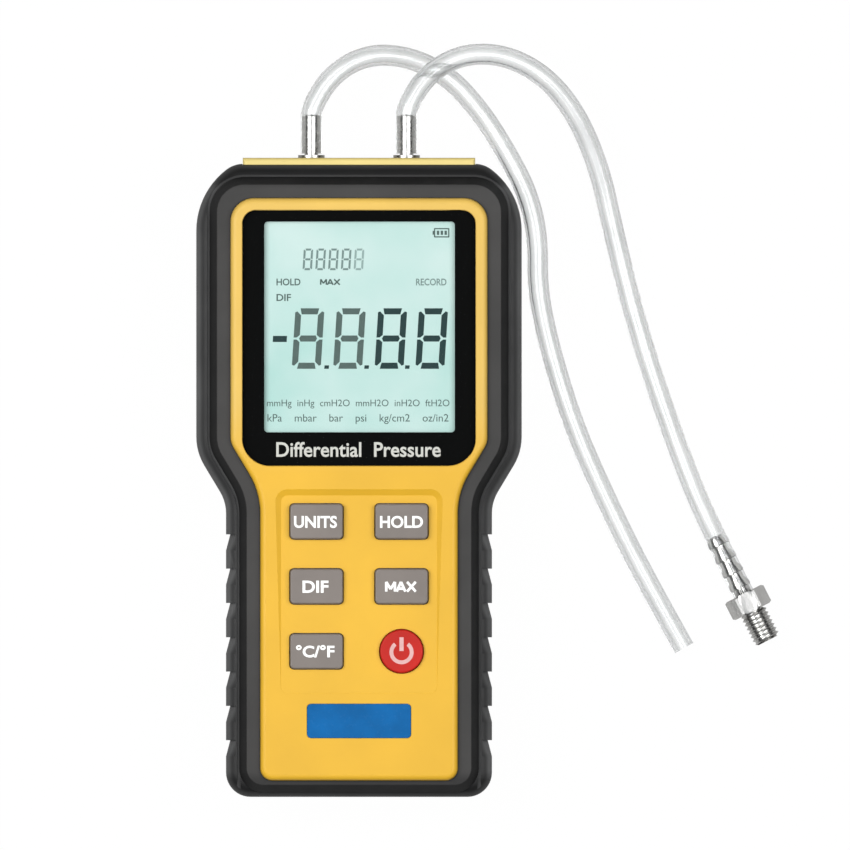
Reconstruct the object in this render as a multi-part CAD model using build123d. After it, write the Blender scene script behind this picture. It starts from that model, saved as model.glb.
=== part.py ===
"""Handheld digital manometer with a rubber boot, two pressure ports and two clear hoses.

Millimetres. The instrument lies on its back: +Z is its front face, +Y its ports' end, +X its right.
The origin is on the table, under the middle of the instrument from its foot to its port tips.
"""
import math
import os

from build123d import *

# Boot, seen from the front
BOOT_LENGTH = 180.9
HEAD_WIDTH = 93.0
SHOULDER_STEP = 8.5
BOOT_WALL = 3.0
BOOT_LIP = 2.6
BOOT_BACK_LIP = 2.2
BOOT_FRONT_ROUND = 4.0
BOOT_BACK_ROUND = 3.6
BOOT_FOOT_RADIUS = 7.0
BOOT_CORNER_SIDE_RADIUS = 22.0
BOOT_CORNER_TOP_RADIUS = 8.0
BOOT_CORNER_SIDE_TURN = 52.5

# Shoulder between head and grip
GRIP_LENGTH = 81.0
SHOULDER_ANGLE = 31.0
SHOULDER_HOLLOW_RADIUS = 12.0
SHOULDER_ROUND_RADIUS = 16.0

# Raised frame of the boot round the yellow face
FRAME_RISE = 3.2
FRAME_BAND = 6.0
FRAME_SLOPE = 34.5
FRAME_TOP_BAND = 6.0
FRAME_FOOT_BAND = 3.4
FRAME_CORNER_RADIUS = 10.0

# Groove outside the raised frame
GROOVE_OUTSIDE = 0.7
GROOVE_INSIDE = 0.4
GROOVE_DEPTH = 0.9

# Grip ribs on the boot's sides, wrapped over its rounded front edge
RIB_COUNT = 7
RIB_PITCH = 9.8
RIB_DEPTH = 1.2
RIB_RAMP = 4.6
RIB_WRAP = 72.0
RIB_START = 6.0

# Housing, in two halves
HOUSING_DEPTH = 28.1
HOUSING_WALL = 2.2
HOUSING_EDGE_ROUND = 1.0
HOUSING_PROUD = 1.7
REAR_HALF_DEPTH = 12.8
FIT_GAP = 0.1
END_BLOCK_INSET = 13.3
END_BLOCK_CORNER = 2.5
TONGUE_HEIGHT = 1.2
TONGUE_WIDTH = 1.0

# Yellow front face, standing out of the housing
FACE_INSET = 9.8
FACE_TOP_INSET = 9.8
FACE_FOOT_INSET = 4.7
FACE_RISE = 8.3
FACE_CORNER_RADIUS = 6.7
FACE_FOOT_RADIUS = 3.5
FACE_EDGE_ROUND = 1.6

# Back face, standing out of the housing
BACK_INSET = 10.5
BACK_FOOT_INSET = 7.0
BACK_RISE = 1.5
BACK_CORNER_RADIUS = 8.0

# Lens and display
LENS_SIDE_INSET = 13.1
LENS_HEIGHT = 73.2
LENS_TOP_INSET = 3.4
LENS_THICKNESS = 1.6
LENS_SUNK = 0.8
LENS_TOP_RADIUS = 4.0
LENS_FOOT_RADIUS = 8.0
LENS_SEAT = 1.4
LENS_SEAT_MARGIN = 2.0
WINDOW_SIDE_INSET = 4.9
WINDOW_TOP_INSET = 2.2
WINDOW_FOOT_INSET = 7.6
PANEL_SIDE_INSET = 2.9
PANEL_TOP_INSET = 1.2
PANEL_FOOT_INSET = 4.0
PANEL_THICKNESS = 2.2
PANEL_GAP = 0.2
HOLDER_RIM = 1.2
DIFFUSER_THICKNESS = 1.4
CONTACT_STRIP_WIDTH = 2.0

# Circuit board
BOARD_THICKNESS = 1.6
BOARD_TOP_BELOW_WALL = 6.6
BOARD_GAP = 0.6

# Keys and silicone mat
KEY_SIDE_INSET = 18.3
KEY_GAP = 9.2
KEY_HEIGHT = 10.0
KEY_CORNER = 1.2
KEY_PROUD = 1.2
KEY_TRAVEL = 0.9
KEY_HOLE_GAP = 0.25
KEY_FLANGE = 1.1
KEY_FLANGE_THICKNESS = 1.2
KEY_SEAT_GAP = 0.3
KEY_EDGE_ROUND = 0.5
POWER_KEY_DIAMETER = 12.4
KEY_BELOW_LENS = 15.8
KEY_ROW_PITCH = 18.55
MAT_THICKNESS = 1.2
MAT_BORDER = 2.0
DOME_BASE_RADIUS = 4.9
DOME_TOP_RADIUS = 3.4
DOME_WALL = 0.9

# Keypad recess: a shallow slope with sloping sides, deepest at its upper end
RECESS_SIDE_INSET = 14.0
RECESS_BELOW_LENS = 6.6
RECESS_LENGTH = 60.0
RECESS_DEPTH = 1.1
RECESS_CORNER = 1.8
RECESS_SIDE_SLOPE = 58.0

# Blank plate below the keys
PLATE_SIDE_INSET = 23.15
PLATE_HEIGHT = 9.8
PLATE_THICKNESS = 0.6
PLATE_POCKET = 0.3
PLATE_ABOVE_FOOT = 17.0
PLATE_CORNER = 1.2

# Pressure ports
PORT_SPACING = 27.2
PORT_BELOW_FRONT = 7.3
PORT_REACH = 12.2
PORT_RADIUS = 1.95
PORT_BORE_RADIUS = 1.2
PORT_FLANGE_RADIUS = 3.8
PORT_FLANGE_THICKNESS = 0.8
PORT_SHANK_RADIUS = 2.5
PORT_NUT_ACROSS = 8.0
PORT_NUT_THICKNESS = 2.5
PORT_TAIL = 8.0
PORT_TAIL_RADIUS = 1.6

# Pressure sensor and the tubes that feed it
SENSOR_WIDTH = 16.0
SENSOR_LENGTH = 16.0
SENSOR_DEPTH = 8.5
SENSOR_INSET = 43.5
SENSOR_BARB_SPACING = 9.0
SENSOR_BARB_LENGTH = 8.0
SENSOR_BARB_RADIUS = 1.6
SENSOR_BARB_BORE = 0.7
INNER_TUBE_RADIUS = 2.4
INNER_TUBE_OVERLAP = 6.5
INNER_TUBE_STRAIGHT = 3.0

# Nine volt battery, its bay and its cover
BATTERY_WIDTH = 26.5
BATTERY_LENGTH = 46.0
BATTERY_DEPTH = 17.5
BATTERY_TERMINAL = 2.5
BATTERY_CLEARANCE = 0.5
BATTERY_CORNER = 2.5
BAY_FOOT_INSET = 15.9
SNAP_ROOM = 6.5
BAY_WALL = 1.5
COVER_FOOT_LAP = 4.5
COVER_TOP_LAP = 9.5
COVER_MARGIN = 2.3
COVER_THICKNESS = 2.0
COVER_GAP = 0.25
COVER_CORNER = 2.0
TAB_WIDTH = 6.0
TAB_SPACING = 16.0
TAB_REACH = 2.0
TAB_THICKNESS = 1.2
TAB_LIP = 1.3
TAB_PLAY = 0.3
COVER_OPEN_ANGLE = 75.0
SNAP_THICKNESS = 3.0
LEAD_RADIUS = 0.6
LEAD_SPACING = 2.4
LEAD_NOTCH_WIDTH = 6.0
LEAD_NOTCH_HEIGHT = 5.0
LEAD_NOTCH_PLACE = -6.0

# Screws
CASE_SCREW_RADIUS = 1.25
CASE_SCREW_HEAD_RADIUS = 2.7
CASE_SCREW_HEAD = 1.8
CASE_SCREW_LENGTH = 19.0
CASE_SCREW_TOP_INSET = 24.0
CASE_SCREW_FOOT_INSET = 13.0
CASE_BOSS_RADIUS = 3.2
BOARD_SCREW_RADIUS = 0.9
BOARD_SCREW_HEAD_RADIUS = 1.9
BOARD_SCREW_HEAD = 1.2
BOARD_SCREW_LENGTH = 5.0
BOARD_BOSS_RADIUS = 2.4
COVER_SCREW_RADIUS = 1.25
COVER_SCREW_HEAD_RADIUS = 2.8
COVER_SCREW_HEAD = 1.2
COVER_SCREW_INSET = 4.5
COVER_SCREW_ENGAGED = 3.5
INSERT_RADIUS = 2.3
INSERT_LENGTH = 5.0
SCREW_PLAY = 0.25

# Hoses
HOSE_RADIUS = 3.0
HOSE_BORE_RADIUS = 2.0
HOSE_START_GAP = 0.4

# Barbed fitting on the right hose
FITTING_BARB_LENGTH = 18.0
FITTING_BARBS = 4
FITTING_BARB_RADIUS = 2.35
FITTING_NECK_RADIUS = 1.75
FITTING_BORE_RADIUS = 1.0
FITTING_HEX_ACROSS = 10.6
FITTING_HEX_LENGTH = 5.7
FITTING_THREAD_RADIUS = 4.0
FITTING_THREAD_LENGTH = 9.4
FITTING_THREAD_CHAMFER = 0.6
FITTING_HEX_CHAMFER = 0.5

# Soldered parts on the board's underside
CONTROLLER_SIDE = 12.0
AMPLIFIER_WIDTH = 5.0
AMPLIFIER_LENGTH = 6.2
CRYSTAL_WIDTH = 3.8
CRYSTAL_LENGTH = 10.5
CRYSTAL_HEIGHT = 3.4
CHIP_HEIGHT = 1.7
CHIP_SPREAD = 16.0

# Worked out from the sizes above
GRIP_WIDTH = HEAD_WIDTH - 2 * SHOULDER_STEP
LENS_WIDTH = HEAD_WIDTH - 2 * LENS_SIDE_INSET
WINDOW_WIDTH = LENS_WIDTH - 2 * WINDOW_SIDE_INSET
WINDOW_HEIGHT = LENS_HEIGHT - WINDOW_TOP_INSET - WINDOW_FOOT_INSET
PANEL_WIDTH = LENS_WIDTH - 2 * PANEL_SIDE_INSET
PANEL_HEIGHT = LENS_HEIGHT - PANEL_TOP_INSET - PANEL_FOOT_INSET
KEY_WIDTH = GRIP_WIDTH / 2 - KEY_SIDE_INSET - KEY_GAP / 2
KEY_COLUMN = (KEY_GAP + KEY_WIDTH) / 2
RECESS_WIDTH = GRIP_WIDTH - 2 * RECESS_SIDE_INSET
PLATE_WIDTH = GRIP_WIDTH - 2 * PLATE_SIDE_INSET
BAY_LENGTH = BATTERY_LENGTH + BATTERY_TERMINAL + SNAP_THICKNESS + SNAP_ROOM
COVER_LENGTH = BAY_LENGTH + COVER_FOOT_LAP + COVER_TOP_LAP
OVERALL_LENGTH = BOOT_LENGTH + HOUSING_PROUD + PORT_REACH
FOOT = -OVERALL_LENGTH / 2
BOOT_TOP = FOOT + BOOT_LENGTH
HOUSING_TOP = BOOT_TOP + HOUSING_PROUD
HOUSING_INSET = BOOT_WALL + FIT_GAP
SHOULDER_LOW = FOOT + GRIP_LENGTH
RIB_FIRST = SHOULDER_LOW - RIB_START

Z_HOUSING_BACK = BOOT_BACK_LIP
Z_HOUSING_FRONT = Z_HOUSING_BACK + HOUSING_DEPTH
Z_SPLIT = Z_HOUSING_BACK + REAR_HALF_DEPTH
Z_CAVITY_FRONT = Z_HOUSING_FRONT - HOUSING_WALL
Z_BOOT_FRONT = Z_HOUSING_FRONT + FIT_GAP + BOOT_LIP
Z_FRAME = Z_BOOT_FRONT + FRAME_RISE
Z_FACE = Z_HOUSING_FRONT + FACE_RISE
Z_FACE_INNER = Z_FACE - HOUSING_WALL
Z_BACK = Z_HOUSING_BACK - BACK_RISE
Z_REAR_INNER = Z_HOUSING_BACK + HOUSING_WALL
Z_LENS_FRONT = Z_FACE - LENS_SUNK
Z_LENS_BACK = Z_LENS_FRONT - LENS_THICKNESS
Z_SEAT_BACK = Z_LENS_BACK - LENS_SEAT
Z_PANEL_FRONT = Z_SEAT_BACK - PANEL_GAP
Z_PANEL_BACK = Z_PANEL_FRONT - PANEL_THICKNESS
Z_BOARD_FRONT = Z_FACE_INNER - BOARD_TOP_BELOW_WALL
Z_BOARD_BACK = Z_BOARD_FRONT - BOARD_THICKNESS
Z_FLANGE_FRONT = Z_FACE_INNER - KEY_SEAT_GAP
Z_FLANGE_BACK = Z_FLANGE_FRONT - KEY_FLANGE_THICKNESS
Z_KEY_FRONT = Z_FACE + KEY_PROUD
Z_MAT_FRONT = Z_BOARD_FRONT + MAT_THICKNESS
Z_DOME_TOP = Z_MAT_FRONT + 2.2
Z_COVER_INNER = Z_BACK + COVER_THICKNESS

FACE_TOP = BOOT_TOP - FACE_TOP_INSET
FACE_FOOT = FOOT + FACE_FOOT_INSET
LENS_TOP = FACE_TOP - LENS_TOP_INSET
LENS_FOOT = LENS_TOP - LENS_HEIGHT
WINDOW_TOP = LENS_TOP - WINDOW_TOP_INSET
WINDOW_CENTRE = WINDOW_TOP - WINDOW_HEIGHT / 2
PANEL_TOP = LENS_TOP - PANEL_TOP_INSET
PANEL_CENTRE = PANEL_TOP - PANEL_HEIGHT / 2
PANEL_FOOT = PANEL_TOP - PANEL_HEIGHT

KEY_TOP_ROW = LENS_FOOT - KEY_BELOW_LENS
RECESS_TOP = LENS_FOOT - RECESS_BELOW_LENS
PLATE_CENTRE = FACE_FOOT + PLATE_ABOVE_FOOT

PORT_XS = (-PORT_SPACING / 2, PORT_SPACING / 2)
PORT_HEIGHT = Z_HOUSING_FRONT - PORT_BELOW_FRONT
SENSOR_CENTRE = BOOT_TOP - SENSOR_INSET
HOSE_START = HOUSING_TOP + PORT_FLANGE_THICKNESS + HOSE_START_GAP

BAY_FOOT = FOOT + BAY_FOOT_INSET
COVER_FOOT = BAY_FOOT - COVER_FOOT_LAP
BAY_TOP = BAY_FOOT + BAY_LENGTH
BAY_WIDTH = BATTERY_WIDTH + 2 * BATTERY_CLEARANCE
Z_BAY_CEILING = Z_COVER_INNER + BATTERY_DEPTH + 2 * BATTERY_CLEARANCE
COVER_WIDTH = BAY_WIDTH + 2 * (BAY_WALL + COVER_MARGIN)
COVER_TOP = COVER_FOOT + COVER_LENGTH
COVER_SCREW_Y = COVER_TOP - COVER_SCREW_INSET

KEY_ROWS = [KEY_TOP_ROW - KEY_ROW_PITCH * row for row in range(3)]
KEYS = {
    "units_key": (-KEY_COLUMN, KEY_ROWS[0]),
    "hold_key": (KEY_COLUMN, KEY_ROWS[0]),
    "difference_key": (-KEY_COLUMN, KEY_ROWS[1]),
    "maximum_key": (KEY_COLUMN, KEY_ROWS[1]),
    "temperature_key": (-KEY_COLUMN, KEY_ROWS[2]),
    "power_key": (KEY_COLUMN, KEY_ROWS[2]),
}

# Screw places, worked out from the walls that carry them
CASE_BOSS_INSET = HOUSING_INSET + HOUSING_WALL + CASE_BOSS_RADIUS - 0.3
CASE_SCREWS = [
    (side * (width / 2 - CASE_BOSS_INSET), y)
    for width, y in (
        (HEAD_WIDTH, BOOT_TOP - CASE_SCREW_TOP_INSET),
        (GRIP_WIDTH, FOOT + CASE_SCREW_FOOT_INSET),
    )
    for side in (-1, 1)
]
FACE_CAVITY_INSET = FACE_INSET + HOUSING_WALL
BOARD_SCREW_X = GRIP_WIDTH / 2 - FACE_CAVITY_INSET - BOARD_GAP - BOARD_BOSS_RADIUS
BOARD_SCREWS = [
    (side * BOARD_SCREW_X, y)
    for y in (LENS_FOOT - BOARD_BOSS_RADIUS - 1.8, FACE_FOOT + HOUSING_WALL + 6.0)
    for side in (-1, 1)
]

# Routes of the hoses' centre lines: out of the port, over to the right, down to the table
HOSE_LEFT_ROUTE = [
    (PORT_XS[0], HOSE_START, PORT_HEIGHT),
    (PORT_XS[0], 99.3, PORT_HEIGHT),
    (-7.5, 109.4, 22.0),
    (2.8, 114.9, 19.0),
    (14.8, 114.0, 14.2),
    (25.9, 108.3, 9.6),
    (34.9, 98.2, 6.4),
    (42.2, 86.6, 4.3),
    (48.2, 75.0, 3.2),
    (51.1, 62.5, 3.0),
    (50.9, 47.5, 3.0),
    (54.6, 30.0, 3.0),
    (61.5, 8.0, 3.0),
    (71.5, -14.5, 3.0),
    (82.0, -35.5, 3.0),
    (92.9, -54.9, 3.0),
]
HOSE_RIGHT_ROUTE = [
    (PORT_XS[1], HOSE_START, PORT_HEIGHT),
    (PORT_XS[1], 99.3, PORT_HEIGHT),
    (19.6, 109.4, 23.0),
    (29.9, 115.0, 22.2),
    (42.0, 114.6, 20.0),
    (53.2, 108.6, 16.6),
    (62.0, 98.0, 12.2),
    (68.6, 82.5, 7.2),
    (72.6, 64.5, 3.9),
    (77.6, 43.8, 3.0),
    (84.1, 22.2, 3.0),
    (91.4, 1.4, 3.0),
    (100.15, -20.25, FITTING_HEX_ACROSS / 2),
    (109.9, -39.3, FITTING_HEX_ACROSS / 2),
]


def outline(inset, top, foot, foot_radius, corner):
    """Face of the hourglass outline, inset from the boot's side, with its own top, foot and corners."""
    grip, head = GRIP_WIDTH / 2 - inset, HEAD_WIDTH / 2 - inset
    hollow, round_ = SHOULDER_HOLLOW_RADIUS + inset, SHOULDER_ROUND_RADIUS - inset
    angle = math.radians(SHOULDER_ANGLE)
    slope = (head - grip - (hollow + round_) * (1 - math.cos(angle))) / math.sin(angle)
    turned, rise = 0.0, 0.0
    for radius, turn in corner:
        a, b = math.radians(turned), math.radians(turned + turn)
        rise += radius * (math.sin(b) - math.sin(a))
        turned += turn

    path = [Line((0, foot), (grip - foot_radius, foot))]

    def bend(radius, turn):
        path.append(JernArc(path[-1] @ 1, path[-1] % 1, radius, turn))

    bend(foot_radius, 90)
    path.append(Line(path[-1] @ 1, (grip, SHOULDER_LOW)))
    bend(hollow, -SHOULDER_ANGLE)
    path.append(Line(path[-1] @ 1, path[-1] @ 1 + (path[-1] % 1) * slope))
    bend(round_, SHOULDER_ANGLE)
    path.append(Line(path[-1] @ 1, (head, top - rise)))
    for radius, turn in corner:
        bend(radius, turn)
    path.append(Line(path[-1] @ 1, (0, top)))
    half = Curve() + path
    return make_face(half + mirror(half, Plane.YZ))


def boot_outline(inset=0.0):
    """The boot's outline, or the same outline some way inside it."""
    corner = [
        (BOOT_CORNER_SIDE_RADIUS - inset, BOOT_CORNER_SIDE_TURN),
        (BOOT_CORNER_TOP_RADIUS - inset, 90 - BOOT_CORNER_SIDE_TURN),
    ]
    return outline(inset, BOOT_TOP - inset, FOOT + inset, BOOT_FOOT_RADIUS - inset, corner)


def housing_outline(extra=0.0):
    """The housing's outline, with the block that looks out of the boot's top end."""
    block_width = HEAD_WIDTH - 2 * (END_BLOCK_INSET + extra)
    block_top, block_foot = HOUSING_TOP - extra, BOOT_TOP - 15.0
    block = Pos(0, (block_top + block_foot) / 2) * Rectangle(block_width, block_top - block_foot)
    return boot_outline(HOUSING_INSET + extra) + block


def face_outline(extra=0.0):
    """The yellow face's outline. A negative extra is outside it."""
    corner = [(FACE_CORNER_RADIUS - extra, 90)]
    return outline(FACE_INSET + extra, FACE_TOP - extra, FACE_FOOT + extra, FACE_FOOT_RADIUS - extra, corner)


def back_outline(extra=0.0):
    """The back face's outline."""
    top, foot = BOOT_TOP - BACK_INSET - extra, FOOT + BACK_FOOT_INSET + extra
    radius = BACK_CORNER_RADIUS - extra
    return outline(BACK_INSET + extra, top, foot, radius, [(radius, 90)])


def lens_outline(extra=0.0):
    """The lens's outline, with tighter corners at its top than at its foot."""
    half = LENS_WIDTH / 2 + extra
    low, high = LENS_FOOT - extra, LENS_TOP + extra
    sketch = Pos(0, (low + high) / 2) * Rectangle(2 * half, high - low)
    top = sketch.vertices().group_by(Axis.Y)[-1]
    sketch = fillet(top, LENS_TOP_RADIUS + extra)
    foot = sketch.vertices().group_by(Axis.Y)[0]
    return fillet(foot, LENS_FOOT_RADIUS + extra)


def prism(face, low, high):
    """The face as a straight solid from one height to another."""
    return Pos(0, 0, low) * extrude(face, high - low)


def block(width, length, low, high, x=0.0, y=0.0):
    """A plain block, centred at x, y."""
    return Pos(x, y, (low + high) / 2) * Box(width, length, high - low)


def rod(radius, low, high, x=0.0, y=0.0):
    """A cylinder along Z, centred at x, y."""
    return Pos(x, y, (low + high) / 2) * Cylinder(radius, high - low)


def rod_y(radius, low, high, x=0.0, z=0.0):
    """A cylinder along Y, centred at x, z."""
    return Pos(x, (low + high) / 2, z) * Rot(90, 0, 0) * Cylinder(radius, high - low)


def edges_at(part, height):
    """The edges that lie at one height."""
    return part.edges().filter_by_position(Axis.Z, height - 1e-4, height + 1e-4)


def rib_notches():
    """Saw-toothed notches down both sides of the grip: a sharp step, then a ramp."""
    side = GRIP_WIDTH / 2
    level = Z_BOOT_FRONT - BOOT_FRONT_ROUND
    round_axis = Axis((side - BOOT_FRONT_ROUND, 0, level), (0, -1, 0))
    cuts = []
    for rib in range(RIB_COUNT):
        step = RIB_FIRST - rib * RIB_PITCH
        tooth = make_face(Polyline(
            (side + 1, step), (side - RIB_DEPTH, step), (side, step - RIB_RAMP), (side + 1, step - RIB_RAMP),
            close=True,
        ))
        cut = prism(tooth, 0, level) + revolve(Pos(0, 0, level) * tooth, round_axis, RIB_WRAP)
        cuts += [cut, mirror(cut, Plane.YZ)]
    return cuts


def frame_outline(extra=0.0, foot_drop=0.0):
    """The raised frame's outline. A negative extra is outside it, and foot_drop lengthens its foot."""
    return outline(
        FACE_INSET - FRAME_BAND + extra,
        FACE_TOP + FRAME_TOP_BAND - extra,
        FACE_FOOT - FRAME_FOOT_BAND + extra - foot_drop,
        FACE_FOOT_RADIUS + FRAME_FOOT_BAND - extra,
        [(FRAME_CORNER_RADIUS - extra, 90)],
    )


def frame_groove():
    """What a crease along the outside of the raised frame takes out of the boot, run out at the foot."""
    low = Z_BOOT_FRONT - GROOVE_DEPTH
    run_out = 4 * FRAME_BAND
    outer = prism(frame_outline(-GROOVE_OUTSIDE, run_out), low, Z_FRAME)
    return outer - prism(frame_outline(GROOVE_INSIDE, run_out), low, Z_FRAME)


def rubber_boot():
    """One moulding that wraps the housing, open over the face, the back and the ports' end."""
    outer = prism(boot_outline(), 0, Z_BOOT_FRONT)
    outer = fillet(edges_at(outer, Z_BOOT_FRONT), BOOT_FRONT_ROUND)
    outer = fillet(edges_at(outer, 0), BOOT_BACK_ROUND)
    frame = prism(frame_outline(), Z_HOUSING_FRONT, Z_BOOT_FRONT)
    frame += Pos(0, 0, Z_BOOT_FRONT) * extrude(frame_outline(), FRAME_RISE, taper=FRAME_SLOPE)
    body = outer - frame_groove() + frame
    body -= prism(housing_outline(-FIT_GAP), Z_HOUSING_BACK, Z_HOUSING_FRONT + FIT_GAP)
    body -= prism(face_outline(-FIT_GAP), Z_HOUSING_FRONT, Z_FACE)
    body -= prism(back_outline(-FIT_GAP), -1, Z_HOUSING_BACK + 1)
    for cut in rib_notches():
        body -= cut
    return body


def lens_pocket():
    """What the lens and its window take out of the front."""
    window = Pos(0, WINDOW_CENTRE) * RectangleRounded(WINDOW_WIDTH, WINDOW_HEIGHT, 1.5)
    return prism(lens_outline(FIT_GAP), Z_LENS_BACK, Z_FACE + 1) + prism(window, Z_SEAT_BACK - 1, Z_FACE)


def keypad_recess():
    """A sloping floor that rises to the face towards the foot, with sloping sides."""
    slope = math.degrees(math.atan2(RECESS_DEPTH, RECESS_LENGTH))
    run = RECESS_DEPTH * math.tan(math.radians(RECESS_SIDE_SLOPE))
    width, length = RECESS_WIDTH - 2 * run, RECESS_LENGTH - 2 * run
    middle = RECESS_TOP - run - length / 2
    floor = Pos(0, middle, Z_FACE - RECESS_DEPTH / 2) * Rot(-slope, 0, 0)
    return extrude(floor * RectangleRounded(width, length, RECESS_CORNER), 2 * RECESS_DEPTH, taper=-RECESS_SIDE_SLOPE)


def key_plan(name, extra=0.0):
    """A key's outline, centred on its own place."""
    x, y = KEYS[name]
    if name == "power_key":
        return Pos(x, y) * Circle(POWER_KEY_DIAMETER / 2 + extra)
    return Pos(x, y) * RectangleRounded(KEY_WIDTH + 2 * extra, KEY_HEIGHT + 2 * extra, KEY_CORNER + extra)


def front_shell():
    """Yellow front half: walls, raised face, lens seat, key holes and screw bosses."""
    shell = prism(housing_outline(), Z_SPLIT, Z_HOUSING_FRONT)
    shell = fillet(edges_at(shell, Z_HOUSING_FRONT), HOUSING_EDGE_ROUND)
    face = prism(face_outline(), Z_CAVITY_FRONT, Z_FACE)
    shell += fillet(edges_at(face, Z_FACE), FACE_EDGE_ROUND)
    shell -= prism(housing_outline(HOUSING_WALL), Z_SPLIT, Z_CAVITY_FRONT)
    shell -= prism(face_outline(HOUSING_WALL), Z_SPLIT, Z_FACE_INNER)
    above_seat = Pos(0, LENS_FOOT - LENS_SEAT_MARGIN + OVERALL_LENGTH / 2) * Rectangle(HEAD_WIDTH, OVERALL_LENGTH)
    seat = face_outline(HOUSING_WALL - FIT_GAP) & above_seat
    shell += prism(seat, Z_SEAT_BACK, Z_FACE_INNER + FIT_GAP)
    for x, y in CASE_SCREWS:
        shell += rod(CASE_BOSS_RADIUS, Z_SPLIT, Z_CAVITY_FRONT + 1, x, y)
    for x, y in BOARD_SCREWS:
        shell += rod(BOARD_BOSS_RADIUS, Z_BOARD_FRONT, Z_FACE_INNER + FIT_GAP, x, y)

    groove = housing_outline(HOUSING_WALL - TONGUE_WIDTH - FIT_GAP)
    shell -= prism(groove, Z_SPLIT, Z_SPLIT + TONGUE_HEIGHT + FIT_GAP)
    shell -= lens_pocket()
    shell -= keypad_recess()
    for name in KEYS:
        shell -= prism(key_plan(name, KEY_HOLE_GAP), Z_FACE_INNER - 1, Z_FACE + 1)
    plate = RectangleRounded(PLATE_WIDTH + 2 * FIT_GAP, PLATE_HEIGHT + 2 * FIT_GAP, PLATE_CORNER)
    shell -= prism(Pos(0, PLATE_CENTRE) * plate, Z_FACE - PLATE_POCKET, Z_FACE + 1)
    for x, y in CASE_SCREWS:
        shell -= rod(CASE_SCREW_RADIUS, Z_SPLIT, Z_HOUSING_BACK + CASE_SCREW_LENGTH + 2, x, y)
    for x, y in BOARD_SCREWS:
        shell -= rod(BOARD_SCREW_RADIUS, Z_BOARD_FRONT, Z_BOARD_BACK + BOARD_SCREW_LENGTH + 1, x, y)
    for x in PORT_XS:
        shell -= rod_y(PORT_SHANK_RADIUS + FIT_GAP, HOUSING_TOP - HOUSING_WALL - 1, HOUSING_TOP + 1, x, PORT_HEIGHT)
    return shell


def tab_xs():
    """Where the cover's two tabs are."""
    return (-TAB_SPACING / 2, TAB_SPACING / 2)


def rear_shell():
    """Yellow rear half: walls, raised back, battery bay, screw bosses and a tongue round its edge."""
    shell = prism(housing_outline(), Z_HOUSING_BACK, Z_SPLIT)
    shell = fillet(edges_at(shell, Z_HOUSING_BACK), HOUSING_EDGE_ROUND)
    shell += prism(back_outline(), Z_BACK, Z_REAR_INNER)
    shell -= prism(housing_outline(HOUSING_WALL), Z_REAR_INNER, Z_SPLIT)
    tongue = housing_outline(HOUSING_WALL - TONGUE_WIDTH) - housing_outline(HOUSING_WALL)
    shell += prism(tongue, Z_SPLIT - 1, Z_SPLIT + TONGUE_HEIGHT)

    bay_centre = BAY_FOOT + BAY_LENGTH / 2
    bay_outer = (BAY_WIDTH + 2 * BAY_WALL, BAY_LENGTH + 2 * BAY_WALL)
    shell += block(*bay_outer, Z_REAR_INNER - 1, Z_BAY_CEILING + BAY_WALL, 0, bay_centre)
    for x, y in CASE_SCREWS:
        shell += rod(CASE_BOSS_RADIUS, Z_HOUSING_BACK, Z_SPLIT, x, y)
    insert_top = Z_COVER_INNER + INSERT_LENGTH
    shell += rod(INSERT_RADIUS + 1.5, Z_HOUSING_BACK, insert_top + 1, 0, COVER_SCREW_Y)

    shell -= block(BAY_WIDTH, BAY_LENGTH, Z_BACK - 1, Z_BAY_CEILING, 0, bay_centre)
    rebate = RectangleRounded(COVER_WIDTH + 2 * COVER_GAP, COVER_LENGTH + 2 * COVER_GAP, COVER_CORNER + COVER_GAP)
    shell -= prism(Pos(0, (COVER_FOOT + COVER_TOP) / 2) * rebate, Z_BACK - 1, Z_COVER_INNER)
    for x in tab_xs():
        reach = COVER_FOOT - TAB_REACH - 2 * TAB_PLAY
        width = TAB_WIDTH + 2 * TAB_PLAY
        length = COVER_FOOT + 2.6 - reach
        shell -= block(width, length, Z_BACK + TAB_LIP, Z_REAR_INNER + 1, x, reach + length / 2)
    shell -= rod(INSERT_RADIUS, Z_COVER_INNER, insert_top, 0, COVER_SCREW_Y)
    for x, y in CASE_SCREWS:
        shell -= rod(CASE_SCREW_RADIUS + SCREW_PLAY, Z_HOUSING_BACK - 1, Z_SPLIT + 1, x, y)
        shell -= rod(CASE_SCREW_HEAD_RADIUS + SCREW_PLAY, Z_HOUSING_BACK - 1, Z_HOUSING_BACK + CASE_SCREW_HEAD, x, y)
    notch_low = Z_BAY_CEILING - LEAD_NOTCH_HEIGHT
    notch = (LEAD_NOTCH_WIDTH, 2 * BAY_WALL, notch_low, Z_BAY_CEILING)
    shell -= block(*notch, LEAD_NOTCH_PLACE, BAY_TOP + BAY_WALL / 2)
    return shell


def display_lens():
    """Flat clear window with a softened front edge."""
    lens = prism(lens_outline(), Z_LENS_BACK, Z_LENS_FRONT)
    return chamfer(edges_at(lens, Z_LENS_FRONT), 0.25)


def lcd_panel():
    """Two sheets of glass, the rear one longer at the foot to reach the contact strip."""
    front_foot = PANEL_FOOT + 2.5
    rear = block(PANEL_WIDTH, PANEL_HEIGHT, Z_PANEL_BACK, Z_PANEL_BACK + PANEL_THICKNESS / 2, 0, PANEL_CENTRE)
    front = block(
        PANEL_WIDTH, PANEL_TOP - front_foot, Z_PANEL_BACK + PANEL_THICKNESS / 2, Z_PANEL_FRONT,
        0, (PANEL_TOP + front_foot) / 2,
    )
    return rear + front


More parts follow.
